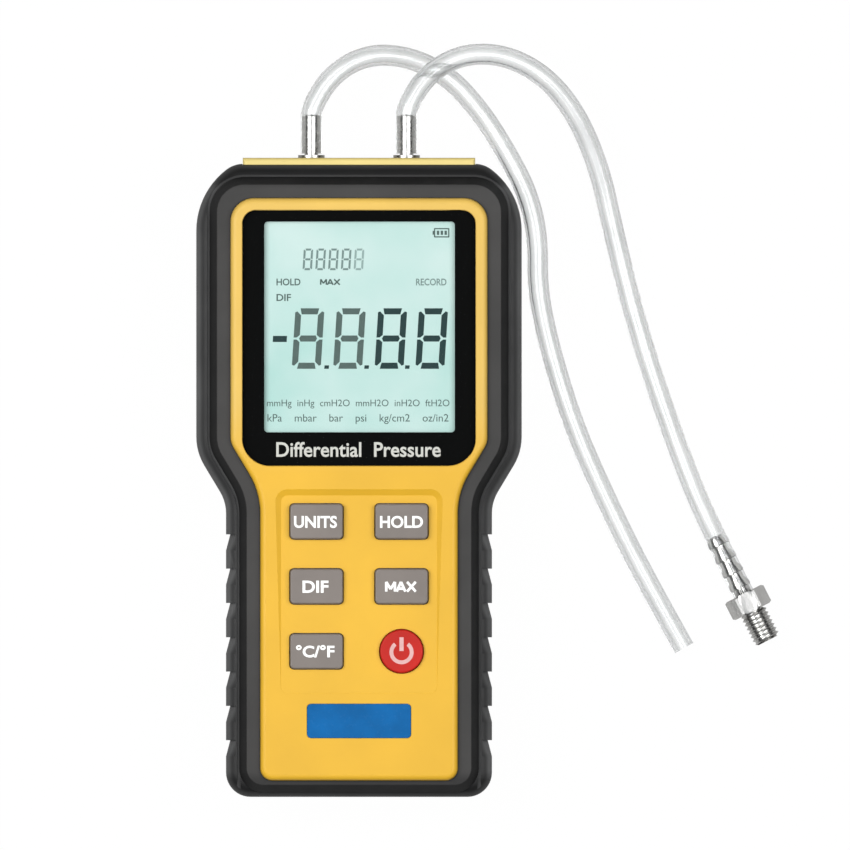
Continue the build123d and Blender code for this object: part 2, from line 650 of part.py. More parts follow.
def lcd_holder():
    """White frame on the board that holds the glass, the diffuser and the contact strip."""
    width, height = PANEL_WIDTH + 2 * HOLDER_RIM, PANEL_HEIGHT + 2 * HOLDER_RIM
    holder = block(width, height, Z_BOARD_FRONT, Z_PANEL_FRONT - FIT_GAP, 0, PANEL_CENTRE)
    grow = 2 * FIT_GAP
    holder -= block(PANEL_WIDTH + grow, PANEL_HEIGHT + grow, Z_PANEL_BACK, Z_PANEL_FRONT, 0, PANEL_CENTRE)
    pocket = PANEL_HEIGHT - 2 * CONTACT_STRIP_WIDTH - 4.0
    holder -= block(
        PANEL_WIDTH - 2.0, pocket, Z_PANEL_BACK - DIFFUSER_THICKNESS, Z_PANEL_BACK,
        0, PANEL_TOP - 1.0 - pocket / 2,
    )
    holder -= block(
        PANEL_WIDTH - 4.0 + grow, CONTACT_STRIP_WIDTH + grow, Z_BOARD_FRONT, Z_PANEL_BACK,
        0, PANEL_FOOT + 0.5 + CONTACT_STRIP_WIDTH / 2,
    )
    return holder


def light_diffuser():
    """Backlight sheet under the glass."""
    length = PANEL_HEIGHT - 2 * CONTACT_STRIP_WIDTH - 4.0 - 2 * FIT_GAP
    centre = PANEL_TOP - 1.0 - FIT_GAP - length / 2
    return block(PANEL_WIDTH - 2.0 - 2 * FIT_GAP, length, Z_PANEL_BACK - DIFFUSER_THICKNESS, Z_PANEL_BACK, 0, centre)


def contact_strip():
    """Rubber strip that joins the glass to the board."""
    centre = PANEL_FOOT + 0.5 + CONTACT_STRIP_WIDTH / 2
    return block(PANEL_WIDTH - 4.0, CONTACT_STRIP_WIDTH, Z_BOARD_FRONT, Z_PANEL_BACK, 0, centre)


def main_board():
    """Circuit board that follows the inside of the raised face."""
    board = prism(face_outline(HOUSING_WALL + BOARD_GAP), Z_BOARD_BACK, Z_BOARD_FRONT)
    for x, y in BOARD_SCREWS:
        board -= rod(BOARD_SCREW_RADIUS + SCREW_PLAY, Z_BOARD_BACK, Z_BOARD_FRONT, x, y)
    return board


def board_chips():
    """Soldered parts on the board's underside: controller, two amplifiers and crystal."""
    row = PANEL_FOOT + CONTROLLER_SIDE / 2
    amplifier = (AMPLIFIER_WIDTH, AMPLIFIER_LENGTH, CHIP_HEIGHT)
    chips = []
    for x, y, (width, length, height) in (
        (0, row, (CONTROLLER_SIDE, CONTROLLER_SIDE, CHIP_HEIGHT)),
        (CHIP_SPREAD, row + CHIP_SPREAD, amplifier),
        (-CHIP_SPREAD, row + CHIP_SPREAD, amplifier),
        (CHIP_SPREAD, row, (CRYSTAL_WIDTH, CRYSTAL_LENGTH, CRYSTAL_HEIGHT)),
    ):
        chips.append(block(width, length, Z_BOARD_BACK - height, Z_BOARD_BACK, x, y))
    return Compound(chips)


def keypad_mat():
    """Silicone sheet on the board, with a hollow dome under each key."""
    width = 2 * KEY_COLUMN + KEY_WIDTH + 2 * MAT_BORDER
    length = KEY_ROWS[0] - KEY_ROWS[2] + KEY_HEIGHT + 2 * MAT_BORDER
    centre = (KEY_ROWS[0] + KEY_ROWS[2]) / 2
    mat = block(width, length, Z_BOARD_FRONT, Z_MAT_FRONT, 0, centre)
    rise = Z_DOME_TOP - Z_MAT_FRONT
    hollow = rise + MAT_THICKNESS - DOME_WALL
    for x, y in KEYS.values():
        mat += Pos(x, y, Z_MAT_FRONT + rise / 2) * Cone(DOME_BASE_RADIUS, DOME_TOP_RADIUS, rise)
    for x, y in KEYS.values():
        inner = Cone(DOME_BASE_RADIUS - DOME_WALL, DOME_TOP_RADIUS - DOME_WALL, hollow)
        mat -= Pos(x, y, Z_BOARD_FRONT + hollow / 2) * inner
        mat += rod(1.6, Z_DOME_TOP - DOME_WALL - 1.0, Z_DOME_TOP - DOME_WALL + 0.2, x, y)
    return mat


def key(name):
    """A key cap: crowned top, flange under the face and a stem down to its dome."""
    x, y = KEYS[name]
    cap = prism(key_plan(name), Z_FLANGE_BACK, Z_KEY_FRONT)
    cap = fillet(edges_at(cap, Z_KEY_FRONT), KEY_EDGE_ROUND)
    cap += prism(key_plan(name, KEY_FLANGE), Z_FLANGE_BACK, Z_FLANGE_FRONT)
    return cap + rod(DOME_TOP_RADIUS - 0.4, Z_DOME_TOP, Z_FLANGE_BACK + 0.5, x, y)


def name_plate():
    """Thin blank plate in its pocket below the keys."""
    plate = prism(
        Pos(0, PLATE_CENTRE) * RectangleRounded(PLATE_WIDTH, PLATE_HEIGHT, PLATE_CORNER),
        Z_FACE - PLATE_POCKET, Z_FACE - PLATE_POCKET + PLATE_THICKNESS,
    )
    return chamfer(edges_at(plate, Z_FACE - PLATE_POCKET + PLATE_THICKNESS), 0.15)


def port_nipple(x):
    """Turned tube with an outer flange, a shank through the wall and a tail for the inner tube."""
    tip = HOUSING_TOP + PORT_REACH
    tail = HOUSING_TOP - HOUSING_WALL - PORT_NUT_THICKNESS - PORT_TAIL
    shank_end = HOUSING_TOP - HOUSING_WALL - PORT_NUT_THICKNESS
    nipple = rod_y(PORT_RADIUS, HOUSING_TOP, tip, x, PORT_HEIGHT)
    nipple = chamfer(nipple.edges().group_by(Axis.Y)[-1], 0.3)
    nipple += rod_y(PORT_FLANGE_RADIUS, HOUSING_TOP, HOUSING_TOP + PORT_FLANGE_THICKNESS, x, PORT_HEIGHT)
    nipple += rod_y(PORT_SHANK_RADIUS, shank_end, HOUSING_TOP, x, PORT_HEIGHT)
    nipple += rod_y(PORT_TAIL_RADIUS, tail, shank_end, x, PORT_HEIGHT)
    return nipple - rod_y(PORT_BORE_RADIUS, tail, tip, x, PORT_HEIGHT)


def hexagon_y(across, low, high, x, z):
    """A hexagonal block along Y."""
    plane = Plane(origin=(x, low, z), x_dir=(1, 0, 0), z_dir=(0, 1, 0))
    return extrude(plane * RegularPolygon(across / 2, 6, major_radius=False), high - low)


def port_nuts():
    """The nuts that hold the nipples to the end wall."""
    high = HOUSING_TOP - HOUSING_WALL
    low = high - PORT_NUT_THICKNESS
    nuts = []
    for x in PORT_XS:
        nut = hexagon_y(PORT_NUT_ACROSS, low, high, x, PORT_HEIGHT)
        nuts.append(nut - rod_y(PORT_SHANK_RADIUS, low, high, x, PORT_HEIGHT))
    return Compound(nuts)


def pressure_sensor():
    """Differential sensor under the board, with two barbs towards the ports."""
    front_edge = SENSOR_CENTRE + SENSOR_LENGTH / 2
    body = block(SENSOR_WIDTH, SENSOR_LENGTH, Z_BOARD_BACK - SENSOR_DEPTH, Z_BOARD_BACK, 0, SENSOR_CENTRE)
    body = chamfer(edges_at(body, Z_BOARD_BACK - SENSOR_DEPTH), 0.8)
    for side in (-1, 1):
        x = side * SENSOR_BARB_SPACING / 2
        body += rod_y(SENSOR_BARB_RADIUS, front_edge - 1, front_edge + SENSOR_BARB_LENGTH, x, PORT_HEIGHT)
    for side in (-1, 1):
        x = side * SENSOR_BARB_SPACING / 2
        body -= rod_y(SENSOR_BARB_BORE, front_edge - 3, front_edge + SENSOR_BARB_LENGTH, x, PORT_HEIGHT)
    return body


def corner_radii(points):
    """Each corner's arc: 0.45 of its shorter run, divided by the tangent of half its turn."""
    places = [Vector(*p) for p in points]
    runs = [b - a for a, b in zip(places, places[1:])]
    return [
        0.45 * min(a.length, b.length) / math.tan(math.radians(a.get_angle(b)) / 2)
        for a, b in zip(runs, runs[1:])
    ]


def tube(points, radius, bore, label):
    """A round tube along straight runs joined by tangent arcs."""
    radii = corner_radii(points)
    path = FilletPolyline(*points, radius=radii)
    start = Plane(origin=path @ 0, z_dir=path % 0)
    solid = sweep(start * Circle(radius), path)
    expected = math.pi * radius**2 * path.length
    if bore:
        solid -= sweep(start * Circle(bore), path)
        expected -= math.pi * bore**2 * path.length
    print(label, "length", round(path.length, 1), "volume ratio", round(solid.volume / expected, 4))
    print(label, "radii", [round(r, 1) for r in radii])
    return solid


def inner_tube(side):
    """Short silicone tube from a nipple's tail to the sensor's barb."""
    port = side * PORT_SPACING / 2
    barb = side * SENSOR_BARB_SPACING / 2
    tail = HOUSING_TOP - HOUSING_WALL - PORT_NUT_THICKNESS - PORT_TAIL
    barb_tip = SENSOR_CENTRE + SENSOR_LENGTH / 2 + SENSOR_BARB_LENGTH
    points = [
        (port, tail + INNER_TUBE_OVERLAP, PORT_HEIGHT),
        (port, tail - INNER_TUBE_STRAIGHT, PORT_HEIGHT),
        (barb, barb_tip + INNER_TUBE_STRAIGHT, PORT_HEIGHT),
        (barb, barb_tip - INNER_TUBE_OVERLAP, PORT_HEIGHT),
    ]
    return tube(points, INNER_TUBE_RADIUS, PORT_TAIL_RADIUS + FIT_GAP / 2, "inner tube")


def battery():
    """Nine volt block battery with its two terminals towards the ports."""
    low = Z_COVER_INNER + BATTERY_CLEARANCE
    foot = BAY_FOOT + BATTERY_CLEARANCE
    top = foot + BATTERY_LENGTH
    plan = block(BATTERY_WIDTH, BATTERY_LENGTH, low, low + BATTERY_DEPTH, 0, (foot + top) / 2)
    cell = fillet(plan.edges().filter_by(Axis.Y), BATTERY_CORNER)
    middle = low + BATTERY_DEPTH / 2
    cell += rod_y(4.4, top, top + BATTERY_TERMINAL, -6.35, middle)
    return cell + rod_y(2.9, top, top + BATTERY_TERMINAL, 6.35, middle)


def battery_snap():
    """Snap connector over the battery's terminals."""
    low = Z_COVER_INNER + BATTERY_CLEARANCE
    middle = low + BATTERY_DEPTH / 2
    face = BAY_FOOT + BATTERY_CLEARANCE + BATTERY_LENGTH + FIT_GAP
    snap = Pos(0, face + (BATTERY_TERMINAL + SNAP_THICKNESS) / 2, middle) * Box(
        BATTERY_WIDTH - 2, BATTERY_TERMINAL + SNAP_THICKNESS, BATTERY_DEPTH - 5
    )
    snap = fillet(snap.edges().filter_by(Axis.Y), 3.0)
    snap -= rod_y(4.4 + FIT_GAP, face - 1, face + BATTERY_TERMINAL + FIT_GAP, -6.35, middle)
    return snap - rod_y(2.9 + FIT_GAP, face - 1, face + BATTERY_TERMINAL + FIT_GAP, 6.35, middle)


def battery_lead(shift):
    """One lead from the snap connector, through the bay's notch, up to the board."""
    snap_end = BAY_FOOT + BATTERY_CLEARANCE + BATTERY_LENGTH + FIT_GAP + BATTERY_TERMINAL + SNAP_THICKNESS
    x = LEAD_NOTCH_PLACE + shift
    level = Z_BAY_CEILING - 2.0
    points = [
        (x, snap_end, level - 3.0),
        (x, snap_end + 3.5, level - 3.0),
        (x, BAY_TOP + BAY_WALL + 2.0, level),
        (x, BAY_TOP + BAY_WALL + 7.5, Z_BOARD_BACK - 4.0),
        (x, BAY_TOP + BAY_WALL + 7.5, Z_BOARD_BACK),
    ]
    return tube(points, LEAD_RADIUS, 0, "battery lead")


def battery_cover():
    """Cover plate with two hooked tabs at its foot and a thumb-ribbed outer face."""
    centre = (COVER_FOOT + COVER_TOP) / 2
    cover = prism(
        Pos(0, centre) * RectangleRounded(COVER_WIDTH, COVER_LENGTH, COVER_CORNER), Z_BACK, Z_COVER_INNER
    )
    tab_low = Z_BACK + TAB_LIP + TAB_PLAY / 2
    for x in tab_xs():
        length = TAB_REACH + 1.4
        cover += block(TAB_WIDTH, length, tab_low, tab_low + TAB_THICKNESS, x, COVER_FOOT - TAB_REACH + length / 2)
    for rib in range(5):
        cover -= block(18.0, 0.9, Z_BACK - 1, Z_BACK + 0.5, 0, COVER_FOOT + 8.0 + 2.4 * rib)
    cover -= rod(COVER_SCREW_HEAD_RADIUS + SCREW_PLAY, Z_BACK - 1, Z_BACK + COVER_SCREW_HEAD, 0, COVER_SCREW_Y)
    return cover - rod(COVER_SCREW_RADIUS, Z_BACK, Z_COVER_INNER, 0, COVER_SCREW_Y)


def pan_screw(radius, head_radius, head, length, cross):
    """Screw along +Z from the outer face of its head, with a cross recess."""
    screw = rod(head_radius, 0, head) + rod(radius, 0, length)
    screw = chamfer(screw.faces().sort_by(Axis.Z)[-1].edges(), radius * 0.4)
    slot = Box(cross * 2, cross * 0.45, head) + Box(cross * 0.45, cross * 2, head)
    return screw - slot


def cover_screw():
    """Captive screw of the battery cover."""
    length = COVER_THICKNESS + COVER_SCREW_ENGAGED
    screw = pan_screw(COVER_SCREW_RADIUS, COVER_SCREW_HEAD_RADIUS, COVER_SCREW_HEAD, length, 1.4)
    return Pos(0, COVER_SCREW_Y, Z_BACK) * screw


def cover_insert():
    """Brass insert that takes the cover's screw."""
    insert = rod(INSERT_RADIUS, Z_COVER_INNER, Z_COVER_INNER + INSERT_LENGTH, 0, COVER_SCREW_Y)
    return insert - rod(
        COVER_SCREW_RADIUS + SCREW_PLAY, Z_COVER_INNER, Z_COVER_INNER + INSERT_LENGTH, 0, COVER_SCREW_Y
    )


def case_screws():
    """Four screws that join the housing's halves, under the boot's back lip."""
    screw = pan_screw(CASE_SCREW_RADIUS, CASE_SCREW_HEAD_RADIUS, CASE_SCREW_HEAD, CASE_SCREW_LENGTH, 1.3)
    return Compound([Pos(x, y, Z_HOUSING_BACK) * screw for x, y in CASE_SCREWS])


def board_screws():
    """Four screws that hold the board to the front half."""
    screw = pan_screw(BOARD_SCREW_RADIUS, BOARD_SCREW_HEAD_RADIUS, BOARD_SCREW_HEAD, BOARD_SCREW_LENGTH, 0.9)
    return Compound([Pos(x, y, Z_BOARD_BACK - BOARD_SCREW_HEAD) * screw for x, y in BOARD_SCREWS])


def hose_fitting():
    """Turned fitting: hose barbs, hexagon and threaded end, on the right hose's last run."""
    end, before = Vector(*HOSE_RIGHT_ROUTE[-1]), Vector(*HOSE_RIGHT_ROUTE[-2])
    step = FITTING_BARB_LENGTH / FITTING_BARBS
    profile = [(0, -FITTING_BARB_LENGTH)]
    for barb in range(FITTING_BARBS):
        low = -FITTING_BARB_LENGTH + barb * step
        profile += [(FITTING_NECK_RADIUS, low), (FITTING_BARB_RADIUS, low + 0.55 * step)]
        profile += [(FITTING_NECK_RADIUS, low + 0.6 * step)]
    profile += [(FITTING_NECK_RADIUS, 0), (0, 0)]
    barbs = revolve(make_face(Plane.XZ * Polyline(*profile, close=True)), Axis.Z)
    flats = extrude(RegularPolygon(FITTING_HEX_ACROSS / 2, 6, major_radius=False), FITTING_HEX_LENGTH)
    corner = FITTING_HEX_ACROSS / 2 / math.cos(math.radians(30))
    turned = Pos(0, 0, FITTING_HEX_LENGTH / 2) * Cylinder(corner, FITTING_HEX_LENGTH)
    flats &= chamfer(turned.edges(), FITTING_HEX_CHAMFER)
    thread = rod(FITTING_THREAD_RADIUS, 0, FITTING_HEX_LENGTH + FITTING_THREAD_LENGTH)
    thread = chamfer(thread.edges().group_by(Axis.Z)[-1], FITTING_THREAD_CHAMFER)
    body = barbs + flats + thread
    body -= rod(FITTING_BORE_RADIUS, -FITTING_BARB_LENGTH, FITTING_HEX_LENGTH + FITTING_THREAD_LENGTH)
    place = Plane(origin=end, x_dir=(end - before).cross(Vector(0, 0, 1)), z_dir=end - before)
    return place * body


def build():
    """Every sub-part by its name."""
    nodes = {
        "rubber_boot": rubber_boot(),
        "front_shell": front_shell(),
        "rear_shell": rear_shell(),
        "display_lens": display_lens(),
        "lcd_panel": lcd_panel(),
        "lcd_holder": lcd_holder(),
        "light_diffuser": light_diffuser(),
        "contact_strip": contact_strip(),
        "main_board": main_board(),
        "board_chips": board_chips(),
        "keypad_mat": keypad_mat(),
        "name_plate": name_plate(),
        "port_nipple_left": port_nipple(PORT_XS[0]),
        "port_nipple_right": port_nipple(PORT_XS[1]),
        "port_nuts": port_nuts(),
        "pressure_sensor": pressure_sensor(),
        "inner_tube_left": inner_tube(-1),
        "inner_tube_right": inner_tube(1),
        "battery": battery(),
        "battery_snap": battery_snap(),
        "battery_lead_red": battery_lead(-LEAD_SPACING / 2),
        "battery_lead_black": battery_lead(LEAD_SPACING / 2),
        "battery_cover": battery_cover(),
        "cover_screw": cover_screw(),
        "cover_insert": cover_insert(),
        "case_screws": case_screws(),
        "board_screws": board_screws(),
        "hose_left": tube(HOSE_LEFT_ROUTE, HOSE_RADIUS, HOSE_BORE_RADIUS, "left hose"),
        "hose_right": tube(HOSE_RIGHT_ROUTE, HOSE_RADIUS, HOSE_BORE_RADIUS, "right hose"),
        "hose_fitting": hose_fitting(),
    }
    for name in KEYS:
        nodes[name] = key(name)
    return nodes


os.makedirs("parts", exist_ok=True)
for node, solid in build().items():
    export_step(solid, f"parts/{node}.step")
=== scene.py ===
"""Look of the handheld digital manometer, in metres, in the CAD model's frame."""
import math

import bmesh
import bpy
from mathutils import Matrix, Vector


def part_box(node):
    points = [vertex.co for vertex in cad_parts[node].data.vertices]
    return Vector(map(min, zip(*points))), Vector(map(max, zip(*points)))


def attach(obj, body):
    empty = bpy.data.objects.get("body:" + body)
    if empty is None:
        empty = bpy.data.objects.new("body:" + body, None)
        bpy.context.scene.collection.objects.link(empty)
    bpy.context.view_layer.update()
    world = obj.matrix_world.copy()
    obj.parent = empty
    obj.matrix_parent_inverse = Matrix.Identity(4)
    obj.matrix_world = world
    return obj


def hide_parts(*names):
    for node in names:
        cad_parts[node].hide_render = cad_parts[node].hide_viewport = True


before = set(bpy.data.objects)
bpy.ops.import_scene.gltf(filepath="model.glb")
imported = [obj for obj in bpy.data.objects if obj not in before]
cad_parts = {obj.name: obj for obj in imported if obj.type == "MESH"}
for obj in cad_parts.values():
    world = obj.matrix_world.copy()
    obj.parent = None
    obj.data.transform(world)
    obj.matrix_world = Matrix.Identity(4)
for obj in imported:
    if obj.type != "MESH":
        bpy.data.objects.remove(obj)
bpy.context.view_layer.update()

MM = 0.001
ROOT = "instrument"

PX_PER_MM = 3.5
PHOTO_SIZE = 850
FACE_CENTRE_PX = (357.5, 456.0)
VIEW_CENTRE = (18.86, 8.86)
CAMERA_HEIGHT = 1.2

LAMP_SIZE = (0.4, 0.6)
KEY_POWER = 7.0
FILL_POWER = 4.8
SKY_DIM = (0.03, 0.031, 0.032, 1)
SKY_BRIGHT = (0.95, 0.97, 1.0, 1)
SKY_STRENGTH = 0.9

FLOOR_HALF = 6.0
FLOOR_GLOW = 1.03
FLOOR_SHARE = 0.96
FLOOR_GLOSS_SHARE = 0.5


def face_mm(px, py):
    """A place on the face, in mm, from a place in the photograph."""
    return (px - FACE_CENTRE_PX[0]) / PX_PER_MM, (FACE_CENTRE_PX[1] - py) / PX_PER_MM


# Camera and light

def add_camera():
    data = bpy.data.cameras.new("camera")
    data.type = "ORTHO"
    data.ortho_scale = PHOTO_SIZE / PX_PER_MM * MM
    data.clip_end = 20
    camera = bpy.data.objects.new("camera", data)
    camera.location = (VIEW_CENTRE[0] * MM, VIEW_CENTRE[1] * MM, CAMERA_HEIGHT)
    bpy.context.scene.collection.objects.link(camera)
    bpy.context.scene.camera = camera


def add_lamp(name, place, power):
    """A soft lamp that looks at the middle of the object."""
    data = bpy.data.lights.new(name, "AREA")
    data.shape = "RECTANGLE"
    data.size, data.size_y = LAMP_SIZE
    data.energy = power
    lamp = bpy.data.objects.new(name, data)
    lamp.location = place
    lamp.rotation_euler = (-Vector(place)).to_track_quat("-Z", "Y").to_euler()
    bpy.context.scene.collection.objects.link(lamp)


def ray_share(tree, *kinds):
    """A value of 1 for the kinds of ray named, and 0 for the others."""
    path = tree.nodes.new("ShaderNodeLightPath")
    seen = path.outputs[kinds[0]]
    for kind in kinds[1:]:
        either = tree.nodes.new("ShaderNodeMath")
        either.operation = "MAXIMUM"
        tree.links.new(seen, either.inputs[0])
        tree.links.new(path.outputs[kind], either.inputs[1])
        seen = either.outputs["Value"]
    return seen


def whiten_below(tree, height, back):
    """White under the horizon for what shows there, past the floor's edge."""
    white = tree.nodes.new("ShaderNodeBackground")
    white.inputs["Color"].default_value = (1, 1, 1, 1)
    below = tree.nodes.new("ShaderNodeMath")
    below.operation = "LESS_THAN"
    below.inputs[1].default_value = 0
    share = tree.nodes.new("ShaderNodeMath")
    share.operation = "MULTIPLY"
    mix = tree.nodes.new("ShaderNodeMixShader")
    seen = ray_share(tree, "Is Camera Ray", "Is Glossy Ray", "Is Transmission Ray")
    tree.links.new(height, below.inputs[0])
    tree.links.new(below.outputs["Value"], share.inputs[0])
    tree.links.new(seen, share.inputs[1])
    tree.links.new(share.outputs["Value"], mix.inputs["Fac"])
    tree.links.new(back.outputs["Background"], mix.inputs[1])
    tree.links.new(white.outputs["Background"], mix.inputs[2])
    tree.links.new(mix.outputs["Shader"], tree.nodes["World Output"].inputs["Surface"])


def add_lights():
    add_lamp("key_light", (-0.46, 0.10, 0.85), KEY_POWER)
    add_lamp("fill_light", (0.50, 0.02, 0.85), FILL_POWER)
    world = bpy.data.worlds.new("studio")
    bpy.context.scene.world = world
    world.use_nodes = True
    tree = world.node_tree
    back = tree.nodes["Background"]
    place = tree.nodes.new("ShaderNodeTexCoord")
    split = tree.nodes.new("ShaderNodeSeparateXYZ")
    ramp = tree.nodes.new("ShaderNodeValToRGB")
    ramp.color_ramp.elements[0].position = 0.45
    ramp.color_ramp.elements[0].color = SKY_DIM
    ramp.color_ramp.elements[1].position = 0.95
    ramp.color_ramp.elements[1].color = SKY_BRIGHT
    tree.links.new(place.outputs["Generated"], split.inputs["Vector"])
    tree.links.new(split.outputs["Z"], ramp.inputs["Fac"])
    tree.links.new(ramp.outputs["Color"], back.inputs["Color"])
    back.inputs["Strength"].default_value = SKY_STRENGTH
    whiten_below(tree, split.outputs["Z"], back)
    bpy.context.scene.view_settings.view_transform = "Standard"


# Materials

class Nodes:
    """A material's nodes, made and joined by short calls."""

    def __init__(self, name):
        self.material = bpy.data.materials.new(name)
        self.material.use_nodes = True
        self.tree = self.material.node_tree
        self.shader = self.tree.nodes["Principled BSDF"]
        self.output = self.tree.nodes["Material Output"]
        self.place = self.add("ShaderNodeTexCoord").outputs["Object"]

    def add(self, kind, **values):
        node = self.tree.nodes.new(kind)
        for key, value in values.items():
            setattr(node, key, value)
        return node

    def join(self, source, target):
        self.tree.links.new(source, target)

    def noise(self, scale, detail=3.0, rough=0.5, stretch=None):
        """Grain of that many waves a metre."""
        node = self.add("ShaderNodeTexNoise")
        node.inputs["Scale"].default_value = scale
        node.inputs["Detail"].default_value = detail
        node.inputs["Roughness"].default_value = rough
        place = self.place
        if stretch:
            turn = self.add("ShaderNodeMapping")
            turn.inputs["Scale"].default_value = stretch
            self.join(place, turn.inputs["Vector"])
            place = turn.outputs["Vector"]
        self.join(place, node.inputs["Vector"])
        return node.outputs["Fac"]

    def ramp(self, source, stops):
        """A colour by the source's value: each stop is a value and its colour."""
        node = self.add("ShaderNodeValToRGB")
        ramp = node.color_ramp
        while len(ramp.elements) < len(stops):
            ramp.elements.new(0.5)
        for element, (place, colour) in zip(ramp.elements, stops):
            element.position = place
            element.color = colour if len(colour) == 4 else (*colour, 1)
        self.join(source, node.inputs["Fac"])
        return node.outputs["Color"]

    def bump(self, source, depth):
        """Bump of a depth in mm."""
        node = self.add("ShaderNodeBump")
        node.inputs["Distance"].default_value = depth * MM
        node.inputs["Strength"].default_value = 1.0
        self.join(source, node.inputs["Height"])
        self.join(node.outputs["Normal"], self.shader.inputs["Normal"])

    def range(self, source, low, high, start=0.0, end=1.0):
        """A value that goes from low to high as the source goes from start to end."""
        node = self.add("ShaderNodeMapRange")
        node.inputs["From Min"].default_value = start
        node.inputs["From Max"].default_value = end
        node.inputs["To Min"].default_value = low
        node.inputs["To Max"].default_value = high
        self.join(source, node.inputs["Value"])
        return node.outputs["Result"]

    def axis(self, letter):
        """The place along X, Y or Z, in metres."""
        node = self.add("ShaderNodeSeparateXYZ")
        self.join(self.place, node.inputs["Vector"])
        return node.outputs[letter]

    def multiply(self, first, second):
        node = self.add("ShaderNodeVectorMath", operation="MULTIPLY")
        self.join(first, node.inputs[0])
        self.join(second, node.inputs[1])
        return node.outputs["Vector"]

    def set(self, **values):
        """Constants on the shader's own sockets, with _ for a space in their names."""
        for key, value in values.items():
            self.shader.inputs[key.replace("_", " ")].default_value = value
        return self


def moulded(name, colour, spread=0.12, grain=900, depth=0.03, rough=(0.4, 0.55), cloud=60, **values):
    """Moulded plastic or rubber: clouded colour, fine spark grain and uneven gloss."""
    n = Nodes(name)
    dark = tuple(c * (1 - spread) for c in colour)
    light = tuple(min(1, c * (1 + spread)) for c in colour)
    n.join(n.ramp(n.noise(cloud, 4), [(0.3, dark), (0.7, light)]), n.shader.inputs["Base Color"])
    fine = n.noise(grain, 2)
    n.join(n.range(n.noise(cloud * 5, 3), *rough), n.shader.inputs["Roughness"])
    n.bump(fine, depth)
    return n.set(**values).material


def yellow_plastic(name):
    """Yellow moulding with a painted highlight: a little paler round the display and at the ports' end."""
    n = Nodes(name)
    # Painted highlight by height along Y: paler yellow round the display, palest at the ports' end.
    painted_highlight_tone = n.ramp(n.range(n.axis("Y"), 0, 1, -0.01, 0.09), [
        (0.05, (0.62, 0.355, 0.023)), (0.25, (0.61, 0.395, 0.08)),
        (0.91, (0.61, 0.395, 0.08)), (0.93, (0.62, 0.50, 0.18)),
    ])
    cloud = n.ramp(n.noise(40, 4), [(0.3, (0.95, 0.95, 0.95)), (0.7, (1.05, 1.05, 1.05))])
    n.join(n.multiply(painted_highlight_tone, cloud), n.shader.inputs["Base Color"])
    n.join(n.range(n.noise(200, 3), 0.38, 0.5), n.shader.inputs["Roughness"])
    n.bump(n.noise(1400, 2), 0.012)
    return n.set(Specular_IOR_Level=0.26).material


def boot_rubber(name):
    """Black rubber with painted light: a painted sheen on the side and the raised frame, painted shade deep
    black in the crease and at both ends.
    """
    n = Nodes(name)
    foot, head = (corner[1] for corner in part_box("rubber_boot"))
    height = n.axis("Z")
    # Painted sheen and shade by height: lighter on the side and the raised frame's top, painted shade deep
    # black in the crease between them.
    painted_sheen_and_shade = n.ramp(n.range(height, 0, 1, 0.0312, 0.0362), [
        (0.08, (0.078, 0.078, 0.078)), (0.24, (0.022, 0.022, 0.022)), (0.36, (0.0035, 0.0035, 0.0035)),
        (0.93, (0.0035, 0.0035, 0.0035)), (0.98, (0.027, 0.026, 0.025)),
    ])
    # Painted shade: darker at the foot and at the head end.
    painted_end_shade = n.ramp(n.range(n.axis("Y"), 0, 1, foot, head), [
        (0.027, (0.34, 0.34, 0.34)), (0.04, (1, 1, 1)), (0.96, (1, 1, 1)), (0.971, (0.3, 0.3, 0.3)),
    ])
    # The painted end shade fades out down the side, below the raised frame.
    fade = n.add("ShaderNodeMixRGB")
    n.join(n.range(height, 0, 1, 0.026, 0.031), fade.inputs["Fac"])
    fade.inputs["Color1"].default_value = (1, 1, 1, 1)
    n.join(painted_end_shade, fade.inputs["Color2"])
    cloud = n.ramp(n.noise(45, 4), [(0.3, (0.78, 0.78, 0.78)), (0.7, (1.2, 1.2, 1.2))])
    n.join(n.multiply(n.multiply(painted_sheen_and_shade, fade.outputs["Color"]), cloud), n.shader.inputs["Base Color"])
    n.join(n.range(n.noise(225, 3), 0.42, 0.56), n.shader.inputs["Roughness"])
    n.bump(n.noise(1100, 2), 0.02)
    return n.set(Specular_IOR_Level=0.26).material


def metal(name, colour, rough=(0.12, 0.28), stretch=None, grain=600, depth=0.006):
    """Plated or turned metal with faint tool marks."""
    n = Nodes(name)
    dark = tuple(c * 0.88 for c in colour)
    n.join(n.ramp(n.noise(250, 3), [(0.3, dark), (0.7, colour)]), n.shader.inputs["Base Color"])
    n.join(n.range(n.noise(400, 3), *rough), n.shader.inputs["Roughness"])
    n.bump(n.noise(grain, 2, stretch=stretch), depth)
    return n.set(Metallic=1.0).material


def clear_film(name, tint, rough, plain, power):
    """Clear sheet: what is behind it shows, and both its faces mirror more the lower they are looked at."""
    n = Nodes(name)
    clear = n.add("ShaderNodeBsdfTransparent")
    clear.inputs["Color"].default_value = (*tint, 1)
    n.set(Roughness=rough)
    n.shader.inputs["Base Color"].default_value = (0.0, 0.0, 0.0, 1)
    n.shader.inputs["Specular IOR Level"].default_value = 1.0
    weight = n.add("ShaderNodeLayerWeight")
    weight.inputs["Blend"].default_value = 0.5
    mirror = n.add("ShaderNodeMath", operation="POWER")
    mirror.inputs[1].default_value = power
    n.join(weight.outputs["Facing"], mirror.inputs[0])
    n.bump(n.noise(90, 2), 0.004)
    mix = n.add("ShaderNodeMixShader")
    n.join(n.range(mirror.outputs["Value"], plain, 1), mix.inputs["Fac"])
    n.join(clear.outputs["BSDF"], mix.inputs[1])
    n.join(n.shader.outputs["BSDF"], mix.inputs[2])
    n.join(mix.outputs["Shader"], n.output.inputs["Surface"])
    return n.material


